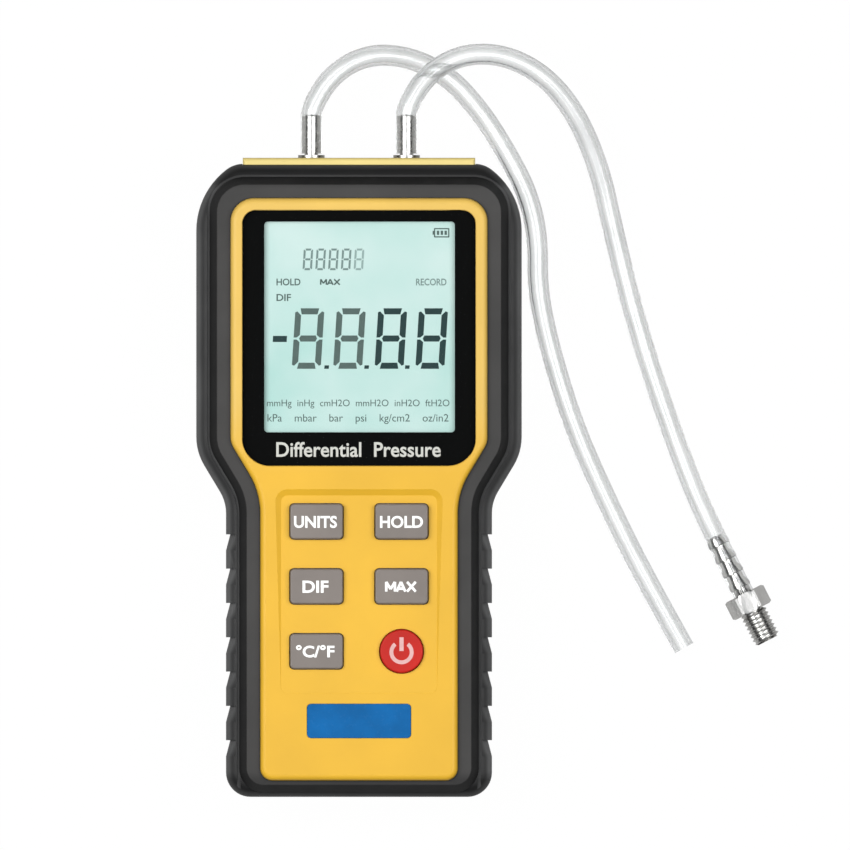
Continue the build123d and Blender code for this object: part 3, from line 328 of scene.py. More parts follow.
def hose_silicone(name):
    """Clear silicone that bends what is seen through its wall, faintly milky."""
    n = Nodes(name)
    n.join(n.ramp(n.noise(90, 3), [(0.3, (0.90, 0.91, 0.91)), (0.7, (0.97, 0.975, 0.975))]),
           n.shader.inputs["Base Color"])
    n.join(n.range(n.noise(200, 2), 0.05, 0.12), n.shader.inputs["Roughness"])
    n.bump(n.noise(180, 2), 0.003)
    n.set(IOR=1.41, Transmission_Weight=1.0)
    milky = n.add("ShaderNodeBsdfDiffuse")
    milky.inputs["Color"].default_value = (0.43, 0.44, 0.44, 1)
    weight = n.add("ShaderNodeLayerWeight")
    weight.inputs["Blend"].default_value = 0.5
    edge = n.ramp(weight.outputs["Facing"], [
        (0.03, (0, 0, 0)), (0.2, (0.10, 0.10, 0.10)), (0.55, (0.24, 0.24, 0.24)), (0.95, (0.12, 0.12, 0.12)),
    ])
    mix = n.add("ShaderNodeMixShader")
    n.join(edge, mix.inputs["Fac"])
    n.join(n.shader.outputs["BSDF"], mix.inputs[1])
    n.join(milky.outputs["BSDF"], mix.inputs[2])
    n.join(mix.outputs["Shader"], n.output.inputs["Surface"])
    return n.material


def cut_silicone(name):
    """A hose's cut end with a painted glow: it glows faintly, standing in for the light that the clear wall
    leads to it.
    """
    n = Nodes(name)
    tint = n.ramp(n.noise(400, 3), [(0.3, (0.58, 0.59, 0.59)), (0.7, (0.68, 0.69, 0.69))])
    n.join(tint, n.shader.inputs["Base Color"])
    # Painted light: the emission makes the cut end glow.
    n.join(tint, n.shader.inputs["Emission Color"])
    n.bump(n.noise(900, 2), 0.01)
    return n.set(Roughness=0.6, Emission_Strength=0.6).material


def display_glass(name):
    """Pale grey-green liquid crystal glass with soft uneven tint and a faint painted glow."""
    n = Nodes(name)
    tint = n.ramp(n.noise(28, 3, 0.6), [(0.3, (0.31, 0.485, 0.445)), (0.7, (0.43, 0.545, 0.515))])
    n.join(tint, n.shader.inputs["Base Color"])
    # Painted light: a faint glow in the glass's own tint brightens it.
    n.join(tint, n.shader.inputs["Emission Color"])
    n.bump(n.noise(1500, 2), 0.003)
    return n.set(Roughness=0.35, Emission_Strength=0.16).material


def printed(name, colour, rough=0.5, specular=0.15):
    """Printed ink with slightly uneven cover."""
    n = Nodes(name)
    dark = tuple(c * 0.92 for c in colour)
    n.join(n.ramp(n.noise(700, 2), [(0.35, dark), (0.65, colour)]), n.shader.inputs["Base Color"])
    n.bump(n.noise(2000, 2), 0.004)
    return n.set(Roughness=rough, Specular_IOR_Level=specular).material


def laminate(name):
    """Green solder mask with copper tracks faintly under it."""
    n = Nodes(name)
    tracks = n.add("ShaderNodeTexBrick")
    tracks.inputs["Scale"].default_value = 260
    tracks.inputs["Mortar Size"].default_value = 0.03
    tracks.inputs["Color1"].default_value = (0.01, 0.10, 0.035, 1)
    tracks.inputs["Color2"].default_value = (0.012, 0.12, 0.045, 1)
    tracks.inputs["Mortar"].default_value = (0.03, 0.2, 0.08, 1)
    n.join(n.place, tracks.inputs["Vector"])
    n.join(tracks.outputs["Color"], n.shader.inputs["Base Color"])
    n.bump(n.noise(800, 2), 0.01)
    return n.set(Roughness=0.35).material


def paint(node, material):
    """Give a CAD node its material."""
    data = bpy.data.objects[node].data
    data.materials.clear()
    data.materials.append(material)


def dress_nodes():
    yellow = yellow_plastic("yellow_plastic")
    grey = moulded("grey_key_plastic", (0.165, 0.143, 0.128), 0.08, 1300, 0.012, (0.38, 0.52), 90,
                   Specular_IOR_Level=0.3)
    black = moulded("black_plastic", (0.02, 0.02, 0.02), 0.2, 900, 0.02)
    white = moulded("white_plastic", (0.75, 0.75, 0.73), 0.05, 900, 0.01)
    silicone = moulded("grey_silicone", (0.16, 0.16, 0.16), 0.1, 600, 0.02, (0.5, 0.7))
    steel = metal("zinc_steel", (0.55, 0.55, 0.54))
    looks = {
        "rubber_boot": boot_rubber("boot_rubber"),
        "front_shell": yellow, "rear_shell": yellow, "battery_cover": yellow,
        "display_lens": clear_film("clear_lens", (0.97, 0.98, 0.98), 0.06, 0.002, 7),
        "lcd_panel": display_glass("display_glass"),
        "lcd_holder": white, "light_diffuser": white,
        "contact_strip": silicone, "keypad_mat": silicone,
        "main_board": laminate("board_laminate"),
        "board_chips": black, "pressure_sensor": black, "battery_snap": black,
        "name_plate": moulded("blue_plate", (0.002, 0.098, 0.29), 0.12, 1500, 0.006, (0.2, 0.32), 160,
                              Specular_IOR_Level=0.12),
        "port_nuts": metal("nut_nickel", (0.72, 0.71, 0.68)),
        "port_nipple_left": metal("nipple_nickel", (0.42, 0.415, 0.40), (0.2, 0.34), stretch=(1, 8, 1)),
        "cover_insert": metal("insert_brass", (0.75, 0.55, 0.22)),
        "cover_screw": steel, "case_screws": steel, "board_screws": steel,
        "battery": moulded("battery_jacket", (0.03, 0.035, 0.045), 0.2, 300, 0.01, (0.25, 0.4), Metallic=0.6),
        "battery_lead_red": moulded("red_wire", (0.55, 0.02, 0.02), 0.1, 900, 0.01),
        "battery_lead_black": moulded("black_wire", (0.02, 0.02, 0.02), 0.2, 900, 0.01),
        "power_key": moulded("red_key_plastic", (0.43, 0.012, 0.007), 0.1, 1300, 0.012, (0.35, 0.5), 110,
                             Specular_IOR_Level=0.16),
    }
    looks["port_nipple_right"] = looks["port_nipple_left"]
    looks["inner_tube_left"] = looks["inner_tube_right"] = SILICONE
    for node in ("units_key", "hold_key", "difference_key", "maximum_key", "temperature_key"):
        looks[node] = grey
    for node, material in looks.items():
        paint(node, material)


# Pieces

def piece(name, mesh, material, body=ROOT, smooth=False):
    """Put a mesh into the scene as a piece that rides on a body."""
    mesh.materials.clear()
    mesh.materials.append(material)
    if smooth:
        for face in mesh.polygons:
            face.use_smooth = True
    thing = bpy.data.objects.new(name, mesh)
    bpy.context.scene.collection.objects.link(thing)
    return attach(thing, body)


def flat_mesh(name, polygons, z, lift=0.0):
    """Flat polygons, in mm, at one height, or each a little over the last where they cross."""
    mesh = bpy.data.meshes.new(name)
    points, faces = [], []
    for polygon in polygons:
        faces.append(range(len(points), len(points) + len(polygon)))
        points += [(x * MM, y * MM, z * MM) for x, y in polygon]
        z += lift
    mesh.from_pydata(points, [], faces)
    mesh.update()
    return mesh


def rounded_loop(left, right, low, high, low_radius, high_radius, steps=10):
    """Points round a rectangle with rounded corners, anticlockwise from its lower right."""
    loop = []
    for cx, cy, radius, start in (
        (right - low_radius, low + low_radius, low_radius, -90),
        (right - high_radius, high - high_radius, high_radius, 0),
        (left + high_radius, high - high_radius, high_radius, 90),
        (left + low_radius, low + low_radius, low_radius, 180),
    ):
        for step in range(steps + 1):
            a = math.radians(start + 90 * step / steps)
            loop.append((cx + radius * math.cos(a), cy + radius * math.sin(a)))
    return loop


def ring_mesh(name, outer, inner, z):
    """A flat band between two loops of as many points."""
    count = len(outer)
    bands = []
    for i in range(count):
        j = (i + 1) % count
        bands.append([outer[i], outer[j], inner[j], inner[i]])
    return flat_mesh(name, bands, z)


def lettering(name, words, centre, size, material, z, body=ROOT, bold=0.0):
    """Printed words of a width and height in mm, centred at a place in mm."""
    curve = bpy.data.curves.new(name, "FONT")
    curve.body = words
    curve.offset = bold
    curve.resolution_u = 4
    holder = bpy.data.objects.new(name + "_source", curve)
    bpy.context.scene.collection.objects.link(holder)
    bpy.context.view_layer.update()
    mesh = bpy.data.meshes.new_from_object(holder)
    bpy.data.objects.remove(holder)
    bpy.data.curves.remove(curve)
    mesh.name = name
    xs = [v.co.x for v in mesh.vertices]
    ys = [v.co.y for v in mesh.vertices]
    middle = Vector(((min(xs) + max(xs)) / 2, (min(ys) + max(ys)) / 2, 0))
    scale_x = size[0] * MM / (max(xs) - min(xs))
    scale_y = size[1] * MM / (max(ys) - min(ys))
    for vertex in mesh.vertices:
        vertex.co = Vector((
            (vertex.co.x - middle.x) * scale_x + centre[0] * MM,
            (vertex.co.y - middle.y) * scale_y + centre[1] * MM,
            z * MM,
        ))
    return piece(name, mesh, material, body)


def stroke(start, end, thick):
    """A straight stroke of a width between two places in mm."""
    (x0, y0), (x1, y1) = start, end
    run = math.hypot(x1 - x0, y1 - y0)
    u, v = -(y1 - y0) / run * thick / 2, (x1 - x0) / run * thick / 2
    return [(x0 + u, y0 + v), (x0 - u, y0 - v), (x1 - u, y1 - v), (x1 + u, y1 + v)]


def word_max(centre, size, thick):
    """The word MAX drawn with straight strokes, centred at a place in mm."""
    wide, high = size[0] - thick, size[1] - thick
    left, low, each = centre[0] - wide / 2, centre[1] - high / 2, wide / 3.4
    letters = (
        (0, [(0, 0), (0, 1), (0.5, 0.25), (1, 1), (1, 0)]),
        (1.2, [(0, 0), (0.5, 1), (1, 0)]),
        (1.2, [(0.22, 0.3), (0.78, 0.3)]),
        (2.4, [(0, 0), (1, 1)]),
        (2.4, [(0, 1), (1, 0)]),
    )
    strokes = []
    for shift, places in letters:
        line = [(left + (shift + x) * each, low + y * high) for x, y in places]
        strokes += [stroke(a, b, thick) for a, b in zip(line, line[1:])]
    return strokes


def digit(left, low, width, height, thick, gap):
    """The seven leaning segments of one display digit, as polygons in mm."""
    t, g, w, h = thick, gap, width, height
    m, e, d = h / 2, 0.85 * thick, 0.5 * thick
    shapes = {
        "a": [(e, h), (w - e, h), (w - t - g / 2, h - t), (t + g / 2, h - t)],
        "d": [(e, 0), (t + g / 2, t), (w - t - g / 2, t), (w - e, 0)],
        "g": [(t * 0.75 + g, m), (t + g, m + t / 2), (w - t - g, m + t / 2),
              (w - t * 0.75 - g, m), (w - t - g, m - t / 2), (t + g, m - t / 2)],
        "f": [(0, h - d - g), (t * 0.35, h - d), (t, h - t - g), (t, m + t / 2 + g / 2),
              (t * 0.5, m + g), (0, m + g)],
        "b": [(w, h - d - g), (w, m + g), (w - t * 0.5, m + g), (w - t, m + t / 2 + g / 2),
              (w - t, h - t - g), (w - t * 0.35, h - d)],
        "e": [(0, d + g), (0, m - g), (t * 0.5, m - g), (t, m - t / 2 - g / 2), (t, t + g), (t * 0.35, d)],
        "c": [(w, d + g), (w - t * 0.35, d), (w - t, t + g), (w - t, m - t / 2 - g / 2),
              (w - t * 0.5, m - g), (w, m - g)],
    }
    return [[(left + x + DIGIT_LEAN * y, low + y) for x, y in shapes[s]] for s in "abcdefg"]


# Hoses

HOSE_LEFT_ROUTE = [
    (-13.6, 86.4, 23.0), (-13.6, 95.0, 23.0), (-13.6, 99.8, 23.0), (-7.5, 109.4, 22.0), (2.8, 114.9, 19.0),
    (14.8, 114.0, 14.2), (25.9, 108.3, 9.6), (34.9, 98.2, 6.4), (42.2, 86.6, 4.3),
    (48.2, 75.0, 3.2), (51.1, 62.5, 3.0), (50.9, 47.5, 3.0), (54.6, 30.0, 3.0),
    (61.5, 8.0, 3.0), (71.5, -14.5, 3.0), (82.0, -35.5, 3.0), (92.9, -54.9, 3.0),
]
HOSE_RIGHT_ROUTE = [
    (13.6, 86.4, 23.0), (13.6, 95.0, 23.0), (13.6, 99.8, 23.0), (19.6, 109.4, 23.0), (29.9, 115.0, 22.2),
    (42.0, 114.6, 20.0), (53.2, 108.6, 16.6), (62.0, 98.0, 12.2), (68.6, 82.5, 7.2),
    (72.6, 64.5, 3.9), (77.6, 43.8, 3.0), (84.1, 22.2, 3.0), (91.4, 1.4, 3.0),
    (100.15, -20.25, 5.3), (109.9, -39.3, 5.3),
]
HOSE_RADIUS = 3.0
HOSE_BORE = 2.0
HOSE_SIDES = 28
CURVE_STEPS = 10
RIM = 0.08
PORT_GRIP = 11.0
PORT_RADIUS = 1.95
GRIP_SINK = 0.06
BARB_LENGTH = 18.0
BARBS = 4
NECK_RADIUS = 1.75
TIP_RADIUS = 2.35
RING_SPACING = 0.25
HEX_FLATS = 5.3
HEX_CORNERS = 6.12
HEX_LENGTH = 5.7
HEX_SIDES = 72
CHAMFER = 0.45
THREAD_RADIUS = 4.0
THREAD_DEPTH = 0.65
THREAD_PITCH = 1.25
THREAD_LENGTH = 9.4
FITTING_BORE = 1.0
FITTING_END = Vector(HOSE_RIGHT_ROUTE[-1])
FITTING_AXIS = (FITTING_END - Vector(HOSE_RIGHT_ROUTE[-2])).normalized()


def spline_points(name, route):
    """Points along the smooth line that the route's points control, in metres."""
    data = bpy.data.curves.new(name, "CURVE")
    data.dimensions = "3D"
    data.resolution_u = CURVE_STEPS
    spline = data.splines.new("NURBS")
    spline.points.add(len(route) - 1)
    for point, place in zip(spline.points, route):
        point.co = (*(c * MM for c in place), 1)
    spline.order_u = 3
    spline.use_endpoint_u = True
    holder = bpy.data.objects.new(name, data)
    bpy.context.scene.collection.objects.link(holder)
    bpy.context.view_layer.update()
    mesh = bpy.data.meshes.new_from_object(holder)
    points = [v.co.copy() for v in mesh.vertices]
    bpy.data.objects.remove(holder)
    bpy.data.meshes.remove(mesh)
    return points


def pipe(points, radii_at, sides):
    """A hollow pipe along points. radii_at gives each ring's outer and inner radius. Its ends come last."""
    verts, faces = [], []
    normal = Vector((0, 0, 1))
    for i, point in enumerate(points):
        ahead = points[min(i + 1, len(points) - 1)] - points[max(i - 1, 0)]
        tangent = ahead.normalized()
        normal = (normal - normal.dot(tangent) * tangent).normalized()
        side = tangent.cross(normal)
        for radius in radii_at(i):
            for s in range(sides):
                a = math.tau * s / sides
                verts.append(point + (normal * math.cos(a) + side * math.sin(a)) * radius)
    ring = 2 * sides
    for i in range(len(points) - 1):
        for s in range(sides):
            t = (s + 1) % sides
            a, b = i * ring, (i + 1) * ring
            faces.append((a + s, a + t, b + t, b + s))
            faces.append((a + sides + t, a + sides + s, b + sides + s, b + sides + t))
    for base, flip in ((0, True), ((len(points) - 1) * ring, False)):
        for s in range(sides):
            t = (s + 1) % sides
            quad = (base + s, base + t, base + sides + t, base + sides + s)
            faces.append(tuple(reversed(quad)) if flip else quad)
    return verts, faces


def barb_radius(from_hex):
    """The barbs' radius, in mm, by the distance from the hexagon."""
    step = BARB_LENGTH / BARBS
    share = (BARB_LENGTH - from_hex) % step / step
    if share < 0.5:
        return NECK_RADIUS + (TIP_RADIUS - NECK_RADIUS) * share / 0.5
    return TIP_RADIUS if share < 0.56 else NECK_RADIUS


def closer(points, length, spacing):
    """The same line with points no further apart than a spacing over its last stretch."""
    left = sum((b - a).length for a, b in zip(points, points[1:]))
    made = [points[0]]
    for a, b in zip(points, points[1:]):
        run = (b - a).length
        parts = max(1, math.ceil(run / spacing)) if left < length + run else 1
        made += [a.lerp(b, k / parts) for k in range(1, parts + 1)]
        left -= run
    return made


def hose(name, node, route, barbed=False):
    """A hollow hose along its route, tight on its port and on its fitting's barbs, if it has one."""
    points = spline_points(name + "_line", route)
    if barbed:
        points = closer(points, (BARB_LENGTH + 2) * MM, RING_SPACING * MM)
    points.insert(1, points[0] + (points[1] - points[0]).normalized() * RIM * MM)
    points.insert(-1, points[-1] + (points[-2] - points[-1]).normalized() * RIM * MM)
    lengths = [0.0]
    for a, b in zip(points, points[1:]):
        lengths.append(lengths[-1] + (b - a).length)
    total = lengths[-1]

    def radii(i):
        from_start, from_end = lengths[i] / MM, (total - lengths[i]) / MM
        if from_start < PORT_GRIP:
            return HOSE_RADIUS * MM, (PORT_RADIUS - GRIP_SINK) * MM
        if barbed and from_end < BARB_LENGTH:
            inside = barb_radius(from_end)
            stretch = 0.5 * max(0, inside - HOSE_BORE)
            return (HOSE_RADIUS + stretch) * MM, (inside - GRIP_SINK) * MM
        return HOSE_RADIUS * MM, HOSE_BORE * MM

    verts, faces = pipe(points, radii, HOSE_SIDES)
    mesh = bpy.data.meshes.new(name)
    mesh.from_pydata(verts, [], faces)
    mesh.update()
    tube = piece(name, mesh, SILICONE, smooth=True)
    mesh.materials.append(CUT_SILICONE)
    for face in mesh.polygons[-2 * HOSE_SIDES:]:
        face.use_smooth = False
        face.material_index = 1
    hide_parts(node)
    return tube, points


def ring_faces(rings, sides):
    """Faces between rings of as many points."""
    faces = []
    for i in range(rings - 1):
        for s in range(sides):
            t = (s + 1) % sides
            faces.append((i * sides + s, i * sides + t, (i + 1) * sides + t, (i + 1) * sides + s))
    return faces


def lathe(profile, sides=48):
    """Points and faces of a turned shape: profile is (distance along the axis, radius) in mm."""
    verts = []
    for along, radius in profile:
        for s in range(sides):
            a = math.tau * s / sides
            verts.append((radius * math.cos(a), radius * math.sin(a), along))
    return verts, ring_faces(len(profile), sides)


def add_shape(bm, shape):
    verts, faces = shape
    made = [bm.verts.new(v) for v in verts]
    for face in faces:
        bm.faces.new([made[i] for i in face])


def thread_shape(radius, depth, pitch, start, length, sides=36):
    """A helical thread: each point's radius follows its phase along the screw."""
    rows = int(length / pitch * 12)
    verts = []
    for row in range(rows + 1):
        along = start + length * row / rows
        for s in range(sides):
            phase = (along / pitch - s / sides) % 1
            wave = abs(2 * phase - 1)
            from_end = min(length - (along - start), along - start + 0.4)
            taper = min(1.0, from_end / 0.9)
            r = radius - depth * min(1.0, wave * 1.25) - (1 - taper) * 0.6
            a = math.tau * s / sides
            verts.append((r * math.cos(a), r * math.sin(a), along))
    return verts, ring_faces(rows + 1, sides)


def hexagon_shape():
    """Points and faces of a hexagon with chamfered corners: its flats cut rings of growing radius."""
    rows = [(0.0, NECK_RADIUS), (0.0, 4.9), (0.0, 5.4), (CHAMFER, HEX_CORNERS),
            (HEX_LENGTH - CHAMFER, HEX_CORNERS), (HEX_LENGTH, 5.4), (HEX_LENGTH, 3.6)]
    verts = []
    for along, limit in rows:
        for s in range(HEX_SIDES):
            a = math.tau * s / HEX_SIDES
            sector = (a + math.pi / 6) % (math.pi / 3) - math.pi / 6
            r = min(limit, HEX_FLATS / math.cos(sector))
            verts.append((r * math.cos(a), r * math.sin(a), along))
    return verts, ring_faces(len(rows), HEX_SIDES)


def fitting():
    """Nickel fitting: four barbs, chamfered hexagon, threaded end and a bore."""
    step, neck, tip, bore = BARB_LENGTH / BARBS, NECK_RADIUS, TIP_RADIUS, FITTING_BORE
    profile = [(-BARB_LENGTH + 2.0, bore), (-BARB_LENGTH, bore)]
    for k in range(BARBS):
        low = -BARB_LENGTH + k * step
        profile += [(low, neck), (low + 0.5 * step, tip), (low + 0.55 * step, tip), (low + 0.6 * step, neck)]
    profile += [(0.0, neck)]
    bm = bmesh.new()
    add_shape(bm, lathe(profile))
    add_shape(bm, hexagon_shape())
    add_shape(bm, thread_shape(THREAD_RADIUS, THREAD_DEPTH, THREAD_PITCH, HEX_LENGTH, THREAD_LENGTH))
    end = HEX_LENGTH + THREAD_LENGTH
    add_shape(bm, lathe([(end, 3.4), (end, bore + 0.3), (end - 0.3, bore), (end - 4.0, bore)]))
    mesh = bpy.data.meshes.new("fitting")
    bm.to_mesh(mesh)
    bm.free()
    side = FITTING_AXIS.cross(Vector((0, 0, 1))).normalized()
    up = side.cross(FITTING_AXIS).normalized()
    turn = Matrix((up, side, FITTING_AXIS)).transposed().to_4x4()
    mesh.transform(Matrix.Translation(FITTING_END * MM) @ turn @ Matrix.Scale(MM, 4))
    nickel = metal("fitting_nickel", (0.58, 0.575, 0.56), (0.2, 0.3), depth=0.003)
    thing = piece("fitting", mesh, nickel, smooth=True)
    smooth_by_angle(mesh, 32)
    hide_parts("hose_fitting")
    return thing


def smooth_by_angle(mesh, degrees):
    """Sharp edges where faces meet at more than an angle."""
    bm = bmesh.new()
    bm.from_mesh(mesh)
    bmesh.ops.remove_doubles(bm, verts=bm.verts, dist=1e-7)
    bmesh.ops.recalc_face_normals(bm, faces=bm.faces)
    for edge in bm.edges:
        if len(edge.link_faces) == 2:
            edge.smooth = edge.calc_face_angle() < math.radians(degrees)
    bm.to_mesh(mesh)
    bm.free()


def add_hoses():
    barbed = fitting()
    left, left_path = hose("left_hose", "hose_left", HOSE_LEFT_ROUTE)
    right, right_path = hose("right_hose", "hose_right", HOSE_RIGHT_ROUTE, True)


# Display, lens and keys

INK_LIFT = 0.03
STROKE_LIFT = 0.004
DIGIT_LEAN = 0.062
DIGIT_SIZE = (8.3, 17.3, 1.75, 0.28)
DIGIT_FOOT_PX = 368.8
FIRST_DIGITS_PX = (290.2, 331.6)
LAST_DIGITS_PX = (373.0, 413.8)
POINTS_PX = (324.8, 364.8, 405.5)
MINUS_PX = (271.2, 342)
MINUS_SIZE = (4.0, 1.75)
SMALL_DIGIT_SIZE = (2.7, 6.2, 0.6, 0.1)
SMALL_DIGITS_PX = (301.0, 270.2)
SMALL_DIGIT_STEP = 3.65
SMALL_DIGITS = 5

# Name, words, left, right, top and foot in the photograph, and ink
DISPLAY_WORDS = (
    ("word_hold", "HOLD", 275, 299, 278.5, 285.5, "mid"),
    ("word_max", "MAX", 318.5, 339, 278.5, 285.5, "mid"),
    ("word_record", "RECORD", 414.5, 445, 278.5, 285.5, "pale"),
    ("word_dif", "DIF", 275, 289.5, 294, 301, "mid"),
    ("units_top", "mmHg  inHg  cmH2O  mmH2O  inH2O  ftH2O", 265.5, 448, 399.5, 408.5, "mid"),
    ("units_low", "kPa    mbar    bar    psi    kg/cm2    oz/in2", 266, 447, 414, 424, "mid"),
)
MAX_STROKE = 0.42
WORD_BOLD = 0.018

BATTERY_PX = (432.5, 237.5)
BATTERY_SIZE = (4.4, 2.7)
BATTERY_WALL = 0.35
BATTERY_BARS = 3

LENS_MARGIN = 0.1
LENS_ROUND = (7.9, 3.9)
WINDOW_FOOT_PX = (262.8, 432.3)
WINDOW_TOP_PX = (453.3, 221.6)
WINDOW_ROUND = 1.0
TITLE_PX = (357, 449.5)
TITLE_SIZE = (47.0, 4.3)

# Name, words, key, and left, right, top and foot in the photograph
KEY_WORDS = (
    ("label_units", "UNITS", "units_key", 292.5, 335.5, 515.8, 528.0),
    ("label_hold", "HOLD", "hold_key", 378.5, 421.5, 515.8, 528.0),
    ("label_difference", "DIF", "difference_key", 301.0, 327.0, 580.6, 592.8),
    ("label_maximum", "MAX", "maximum_key", 383.5, 415.5, 580.6, 592.8),
    ("label_temperature", "°C/°F", "temperature_key", 294.5, 333.0, 645.0, 657.5),
)
KEY_MAX_STROKE = 0.72
KEY_BOLD = 0.028

POWER_OUTER = 3.45
POWER_INNER = 2.35
POWER_OPENING = 38
POWER_STEPS = 40
POWER_DROP = 0.25
POWER_BAR = (0.6, 0.1, 4.0)


def box_px(left, right, top, foot):
    """Centre and size, in mm, of a box in the photograph."""
    centre = face_mm((left + right) / 2, (top + foot) / 2)
    return centre, ((right - left) / PX_PER_MM, (foot - top) / PX_PER_MM)


def add_digits(z, inks):
    """The large digits with their minus and points, and the row of small digits."""
    width, height, thick, gap = DIGIT_SIZE
    low = face_mm(0, DIGIT_FOOT_PX)[1]
    for name, lefts, ink in (
        ("digits_first", FIRST_DIGITS_PX, "mid"), ("digits_last", LAST_DIGITS_PX, "dark"),
    ):
        shapes = []
        for left in lefts:
            shapes += digit(face_mm(left, 0)[0], low, width, height, thick, gap)
        piece(name, flat_mesh(name, shapes, z), inks[ink])
    x, y = face_mm(*MINUS_PX)
    w, h = MINUS_SIZE
    minus = [[(x, y), (x + w, y), (x + w + 0.1, y + h), (x + 0.1, y + h)]]
    points = []
    for px in POINTS_PX:
        x, y = face_mm(px, DIGIT_FOOT_PX)
        points.append([(x - 0.6, y), (x + 0.7, y), (x + 0.8, y + 1.0), (x - 0.5, y + 1.0)])
    piece("minus_sign", flat_mesh("minus_sign", minus, z), inks["dark"])
    piece("decimal_points", flat_mesh("decimal_points", points, z), inks["dark"])

    x, y = face_mm(*SMALL_DIGITS_PX)
    row = [digit(x + SMALL_DIGIT_STEP * k, y, *SMALL_DIGIT_SIZE) for k in range(SMALL_DIGITS)]
    piece("small_digits", flat_mesh("small_digits", sum(row[:-1], []), z), inks["pale"])
    piece("small_digit_last", flat_mesh("small_digit_last", row[-1], z), inks["faint"])


def add_display_words(z, inks):
    for name, words, left, right, top, foot, ink in DISPLAY_WORDS:
        centre, size = box_px(left, right, top, foot)
        if words == "MAX":
            mesh = flat_mesh(name, word_max(centre, size, MAX_STROKE), z, STROKE_LIFT)
            piece(name, mesh, inks[ink])
            continue
        bold = 0 if "m" in words else WORD_BOLD
        lettering(name, words, centre, size, inks[ink], z, bold=bold)


def add_battery_sign(z, ink):
    """A battery's outline with its bars and its pole."""
    x, y = face_mm(*BATTERY_PX)
    w, h = BATTERY_SIZE
    t = BATTERY_WALL
    outer = rounded_loop(x, x + w, y, y + h, 0.2, 0.2, 2)
    inner = rounded_loop(x + t, x + w - t, y + t, y + h - t, 0.1, 0.1, 2)
    piece("battery_sign", ring_mesh("battery_sign", outer, inner, z), ink)
    bars = []
    for k in range(BATTERY_BARS):
        left, right = x + 0.8 + 1.1 * k, x + 1.5 + 1.1 * k
        bars.append([(left, y + 0.75), (right, y + 0.75), (right, y + h - 0.75), (left, y + h - 0.75)])
    bars.append([(x - 0.4, y + 0.8), (x, y + 0.8), (x, y + h - 0.8), (x - 0.4, y + h - 0.8)])
    piece("battery_bars", flat_mesh("battery_bars", bars, z), ink)


def add_display():
    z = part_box("lcd_panel")[1].z / MM + INK_LIFT
    inks = {
        "dark": printed("segment_dark", (0.012, 0.034, 0.034), 0.4),
        "mid": printed("segment_mid", (0.075, 0.11, 0.10), 0.4),
        "pale": printed("segment_pale", (0.16, 0.225, 0.21), 0.4),
        "faint": printed("segment_faint", (0.25, 0.34, 0.32), 0.4),
    }
    add_digits(z, inks)
    add_display_words(z, inks)
    add_battery_sign(z, inks["mid"])


def add_lens_print():
    low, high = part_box("display_lens")
    left, right = low.x / MM + LENS_MARGIN, high.x / MM - LENS_MARGIN
    foot, top = low.y / MM + LENS_MARGIN, high.y / MM - LENS_MARGIN
    z = low.z / MM + 0.05
    outer = rounded_loop(left, right, foot, top, *LENS_ROUND)
    (x0, y0), (x1, y1) = face_mm(*WINDOW_FOOT_PX), face_mm(*WINDOW_TOP_PX)
    inner = rounded_loop(x0, x1, y0, y1, WINDOW_ROUND, WINDOW_ROUND)
    ink = printed("lens_black", (0.0015, 0.0016, 0.0016), 0.6, 0.03)
    piece("lens_border", ring_mesh("lens_border", outer, inner, z), ink)
    white = printed("print_white", (0.52, 0.51, 0.47), 0.45)
    lettering("lens_words", "Differential  Pressure", face_mm(*TITLE_PX), TITLE_SIZE, white, z + 0.02,
              bold=0.016)


def add_key_words():
    white = printed("key_print", (0.86, 0.86, 0.84), 0.5)
    for name, words, key, left, right, top, foot in KEY_WORDS:
        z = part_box(key)[1].z / MM + INK_LIFT
        centre, size = box_px(left, right, top, foot)
        if words == "MAX":
            mesh = flat_mesh(name, word_max(centre, size, KEY_MAX_STROKE), z, STROKE_LIFT)
            piece(name, mesh, white, key)
            continue
        lettering(name, words, centre, size, white, z, key, bold=KEY_BOLD)


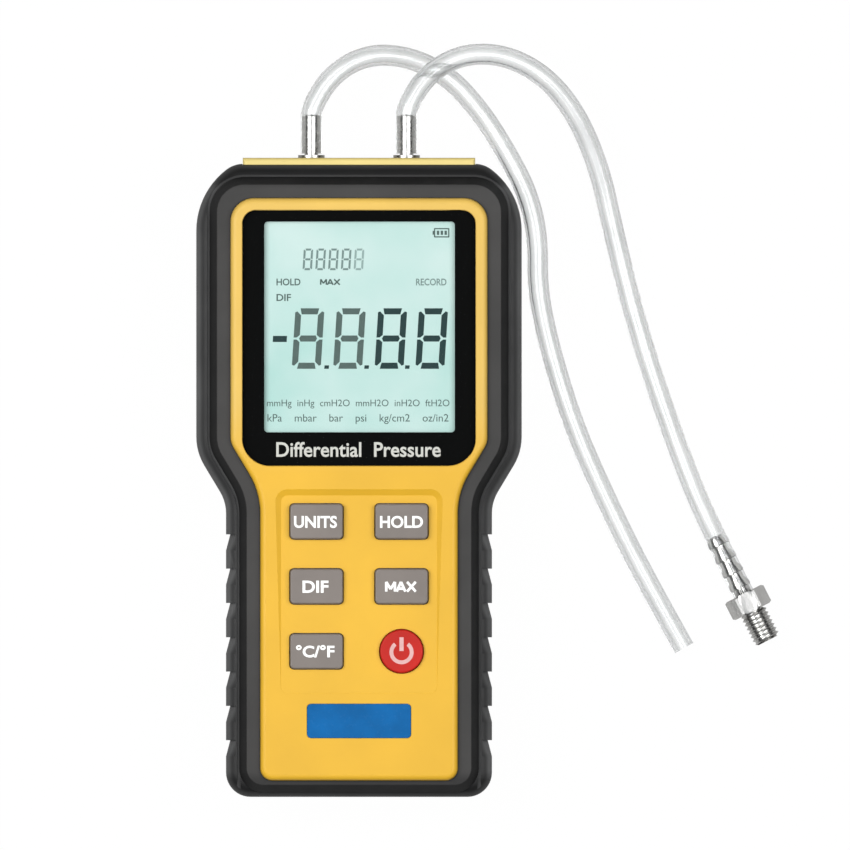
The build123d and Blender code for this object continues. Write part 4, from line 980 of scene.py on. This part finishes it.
def add_power_sign():
    """An open ring with a bar in its opening."""
    low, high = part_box("power_key")
    x, y = (low.x + high.x) / 2 / MM, (low.y + high.y) / 2 / MM
    z = high.z / MM + INK_LIFT
    shapes = []
    for k in range(POWER_STEPS):
        quad = []
        for r, i in ((POWER_OUTER, k), (POWER_OUTER, k + 1), (POWER_INNER, k + 1), (POWER_INNER, k)):
            a = math.radians(90 + POWER_OPENING + (360 - 2 * POWER_OPENING) * i / POWER_STEPS)
            quad.append((x + r * math.cos(a), y - POWER_DROP + r * math.sin(a)))
        shapes.append(quad)
    half, foot, top = POWER_BAR
    shapes.append([(x - half, y + foot), (x + half, y + foot), (x + half, y + top), (x - half, y + top)])
    rosy = printed("power_print", (0.62, 0.36, 0.35), 0.5)
    piece("power_sign", flat_mesh("power_sign", shapes, z), rosy, "power_key")


# Floor

def add_floor():
    """A floor that takes the object's shadow: white to the camera and through glass, light grey in gloss."""
    mesh = bpy.data.meshes.new("floor")
    s = FLOOR_HALF
    mesh.from_pydata([(-s, -s, 0), (s, -s, 0), (s, s, 0), (-s, s, 0)], [], [(0, 1, 2, 3)])
    floor = bpy.data.objects.new("floor", mesh)
    n = Nodes("floor_white")
    n.set(Roughness=0.9)
    n.shader.inputs["Base Color"].default_value = (0.22, 0.22, 0.22, 1)
    glow = n.add("ShaderNodeEmission")
    glow.inputs["Strength"].default_value = FLOOR_GLOW
    share = n.add("ShaderNodeMath", operation="MULTIPLY")
    share.inputs[1].default_value = FLOOR_SHARE
    n.join(ray_share(n.tree, "Is Camera Ray", "Is Transmission Ray"), share.inputs[0])
    gloss = n.add("ShaderNodeMath", operation="MULTIPLY")
    gloss.inputs[1].default_value = FLOOR_GLOSS_SHARE
    n.join(ray_share(n.tree, "Is Glossy Ray"), gloss.inputs[0])
    total = n.add("ShaderNodeMath", operation="MAXIMUM")
    n.join(share.outputs["Value"], total.inputs[0])
    n.join(gloss.outputs["Value"], total.inputs[1])
    mix = n.add("ShaderNodeMixShader")
    n.join(total.outputs["Value"], mix.inputs["Fac"])
    n.join(n.shader.outputs["BSDF"], mix.inputs[1])
    n.join(glow.outputs["Emission"], mix.inputs[2])
    n.join(mix.outputs["Shader"], n.output.inputs["Surface"])
    mesh.materials.append(n.material)
    bpy.context.scene.collection.objects.link(floor)


SILICONE = hose_silicone("clear_silicone")
CUT_SILICONE = cut_silicone("cut_silicone")

add_camera()
add_lights()
add_floor()
add_hoses()
dress_nodes()
add_display()
add_lens_print()
add_key_words()
add_power_sign()
